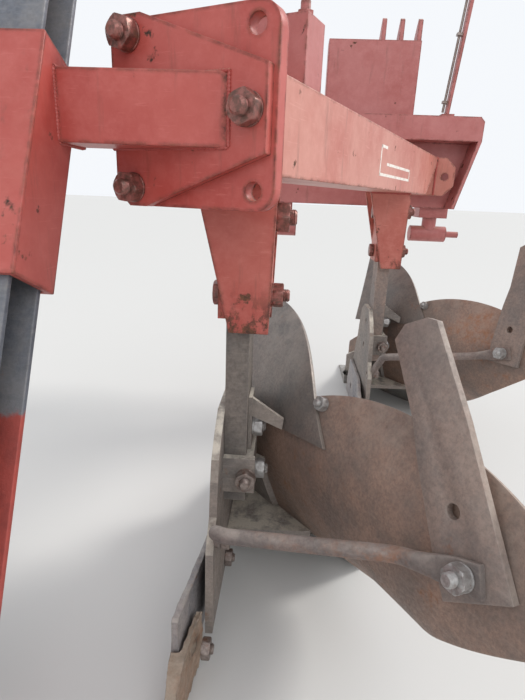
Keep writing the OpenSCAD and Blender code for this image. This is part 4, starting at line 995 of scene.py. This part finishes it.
# %% [markdown]
# Plates on a plough are joined by hand-laid weld, a bead with a ripple for each drop of metal.
# A bump could fake the ripple, but the bead would have no outline of its own. So a bead is a
# thin tube carried along a path; its radius swells and shrinks with the length run. It is half
# sunk in the seam, and painted with the rest.

# %% Weld beads
def bead(corners, radius=3.4, ripple=4.0):
    """Tube round a path in metres: radius times 1 less 0.22 |cos| of the length run; radius and
    ripple are in millimetres, and the tube runs out to nothing over 3 mm at each end."""
    corners = np.asarray(corners, float)
    run = length_run(corners)
    step_along, run_out = 0.0008, 0.003
    count = max(8, int(run[-1] / step_along))
    s = np.linspace(0, run[-1], count)
    centre = resampled(corners, run, s)
    ahead = unit(np.gradient(centre, axis=0))
    no_seam_runs_so = np.array([0.31, 0.17, 0.93])
    side = unit(np.cross(ahead, no_seam_runs_so))
    up = np.cross(ahead, side)
    wave = 1 - 0.22 * np.abs(np.cos(math.pi * s / (ripple / 1000)))
    ends = np.sqrt(np.clip(np.minimum(s, run[-1] - s) / run_out, 0, 1))
    thick = (radius / 1000 * wave * ends)[:, None, None]
    angle = round_angles(10)[0][None, :, None]
    return centre[:, None] + thick * (np.cos(angle) * side[:, None] + np.sin(angle) * up[:, None])


def loop(points):
    """A path that ends where it starts."""
    return np.concatenate([points, points[:1]])


arm_seam = loop(placed([(-3.9, -156, 758), (-3.9, -156, 836), (-161, -84, 836), (-161, -84, 758)]))
sleeve_seam = loop(placed([(-201, -155, 758), (-201, -155, 836), (-201, -85, 836), (-201, -85, 758)]))
flange_seam = loop(on_beam([(-60, -118, 732), (60, -118, 732), (60, -118, 852), (-60, -118, 852)]))
bracket_seam = loop(on_beam([(-52, 20, 852), (52, 20, 852), (52, 82, 852), (-52, 82, 852)]))
front_seam = on_beam([(60, 1137, 732), (60, 1137, 852), (-60, 1137, 852)])
make_piece("beam_welds", [bead(arm_seam, 2.6), bead(sleeve_seam), bead(flange_seam),
                          bead(bracket_seam, 3), bead(front_seam)], weld_red)
for side, foot in foot_of.items():
    rear_seam = placed([(-63, -60, 731), (51, -60, 731)], foot)
    ahead_seam = placed([(-63, 60, 731), (51, 60, 731)], foot)
    make_piece(side + "_leg_welds", [bead(rear_seam, 4), bead(ahead_seam, 4)], weld_red)

# %% [markdown]
# Near its front the beam's right face has a pale printed frame with a bare middle. It could be a
# mask in the beam's paint, but its sharp corners are easier as geometry: five thin bars a
# fraction of a millimetre proud of the paint.

# %% The bare decal frame
def pale_print():
    """Off-white print, dusty and rubbed."""
    f = Finish("pale_print")
    rubbed = f.mask(f.noise(60, 6, 0.7), 0.4, 0.7)
    colour = f.blend(f.calc("MULTIPLY", rubbed, 0.6), (0.80, 0.76, 0.70), (0.55, 0.36, 0.31))
    return f.finish(colour, 0.6, rubbed, 0.0001, 0.3)


face_x = 60.0
bars = [(423, 429, 759, 821), (423, 474, 815, 821), (423, 724, 759, 765), (718, 724, 759, 788),
        (480, 724, 782, 788)]  # from and to along the beam, from and to in height
grids = []
for start, end, bottom, top in bars:
    plate = slab([(start, bottom), (end, bottom), (end, top), (start, top)], face_x - 0.2, face_x + 0.3)
    grids.append(on_beam(plate[..., [2, 0, 1]]))
make_piece("bare_decal_frame", grids, pale_print())

# %% [markdown]
# The CAD nodes keep their place, and each gets a finish by its name. Most of the plough has few
# finishes, so a short list of names and a shorter one of endings, which serve both bodies, do
# for all of them. What is in neither list is painted plate in the shade.

# %% Finish for each CAD node
finish_of = {
    "main_beam": beam_red_painted_glare, "beam_front_plate": beam_red_painted_glare, "front_leg": front_leg_red_painted_haze,
    # The front shank takes the paler tail-plate steel: a painted haze over the farther body.
    "front_shank": tail_steel, "lever_latch": dull_nuts, "wheel_post": post_steel,
    "lifting_screw": dull_nuts, "flange_bolts": dull_nuts, "wheel_tyre": tyre_rubber,
}
tower_nodes = ("headstock_frame", "cross_tube", "tower_panel", "top_link_ears", "link_pin_left",
               "link_pin_right", "lever_bar", "beam_bracket")
finish_of.update(dict.fromkeys(tower_nodes, tower_red_painted_haze))
ending_finish = {
    "leg": leg_red, "shank": shank_steel, "frog": cast_steel, "landside": land_steel,
    "heel": heel_steel, "share": scoured_steel, "mouldboard": board_steel,
    "trashboard": trash_steel, "tail_plate": tail_steel, "brace_rod": rod_steel,
    "leg_bolts": bright_nuts, "board_bolts": bright_nuts,
}


def node_finish(name):
    """The finish of a node by its name, or by what follows rear_ or front_."""
    ending = name.split("_", 1)[-1]
    return finish_of.get(name) or ending_finish.get(ending) or shade_red


print("finishes by name", len(finish_of), "by ending", len(ending_finish))

# %% [markdown]
# A flame-cut plate has a small rounded edge that catches the light, so a rigid node gets its
# triangles joined, its flat faces merged and its edges bevelled. Landsides and heels are eaten
# away along the furrow wall. Cutting that into their solids would spoil the drawing, so they
# are remade in voxels and sink inwards by a cloud pattern. All of it is modifiers over the
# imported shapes. Replaced nodes, bolts and the latch's thin rod stay sharp.

# %% Softened edges and worn surfaces
def soften(node):
    """Welds the loose triangles, joins flat faces and rounds the edges, all as modifiers."""
    weld = node.modifiers.new("weld", "WELD")
    weld.merge_threshold = 0.00001
    planar = node.modifiers.new("planar", "DECIMATE")
    planar.decimate_type = "DISSOLVE"
    planar.angle_limit = math.radians(0.6)
    rounded(node, 38)


def worn_away(node, depth, grain=0.035):
    """Voxels and a cloud pattern eat up to the depth off a node, always inwards."""
    voxels = node.modifiers.new("voxels", "REMESH")
    voxels.mode = "VOXEL"
    voxels.voxel_size = 0.0025
    voxels.use_smooth_shade = True
    clouds = bpy.data.textures.new(node.name + "_wear", "CLOUDS")
    clouds.noise_scale = grain
    clouds.noise_depth = 3
    worn = node.modifiers.new("worn", "DISPLACE")
    worn.texture = clouds
    worn.texture_coords = "LOCAL"
    worn.strength = depth
    worn.mid_level = 1.0


wear_of = {"heel": 0.007, "landside": 0.004}
left_sharp = ("mouldboard", "trashboard", "bolts", "lifting_screw", "wheel_tyre", "wheel_post",
              "brace_rod", "lever_latch")
for name, node in nodes.items():
    node.data.materials.clear()
    node.data.materials.append(node_finish(name))
    wear = wear_of.get(name.split("_", 1)[-1])
    if wear:
        worn_away(node, wear)
    elif not name.endswith(left_sharp):
        soften(node)
    print(name, "gets", node_finish(name).name)
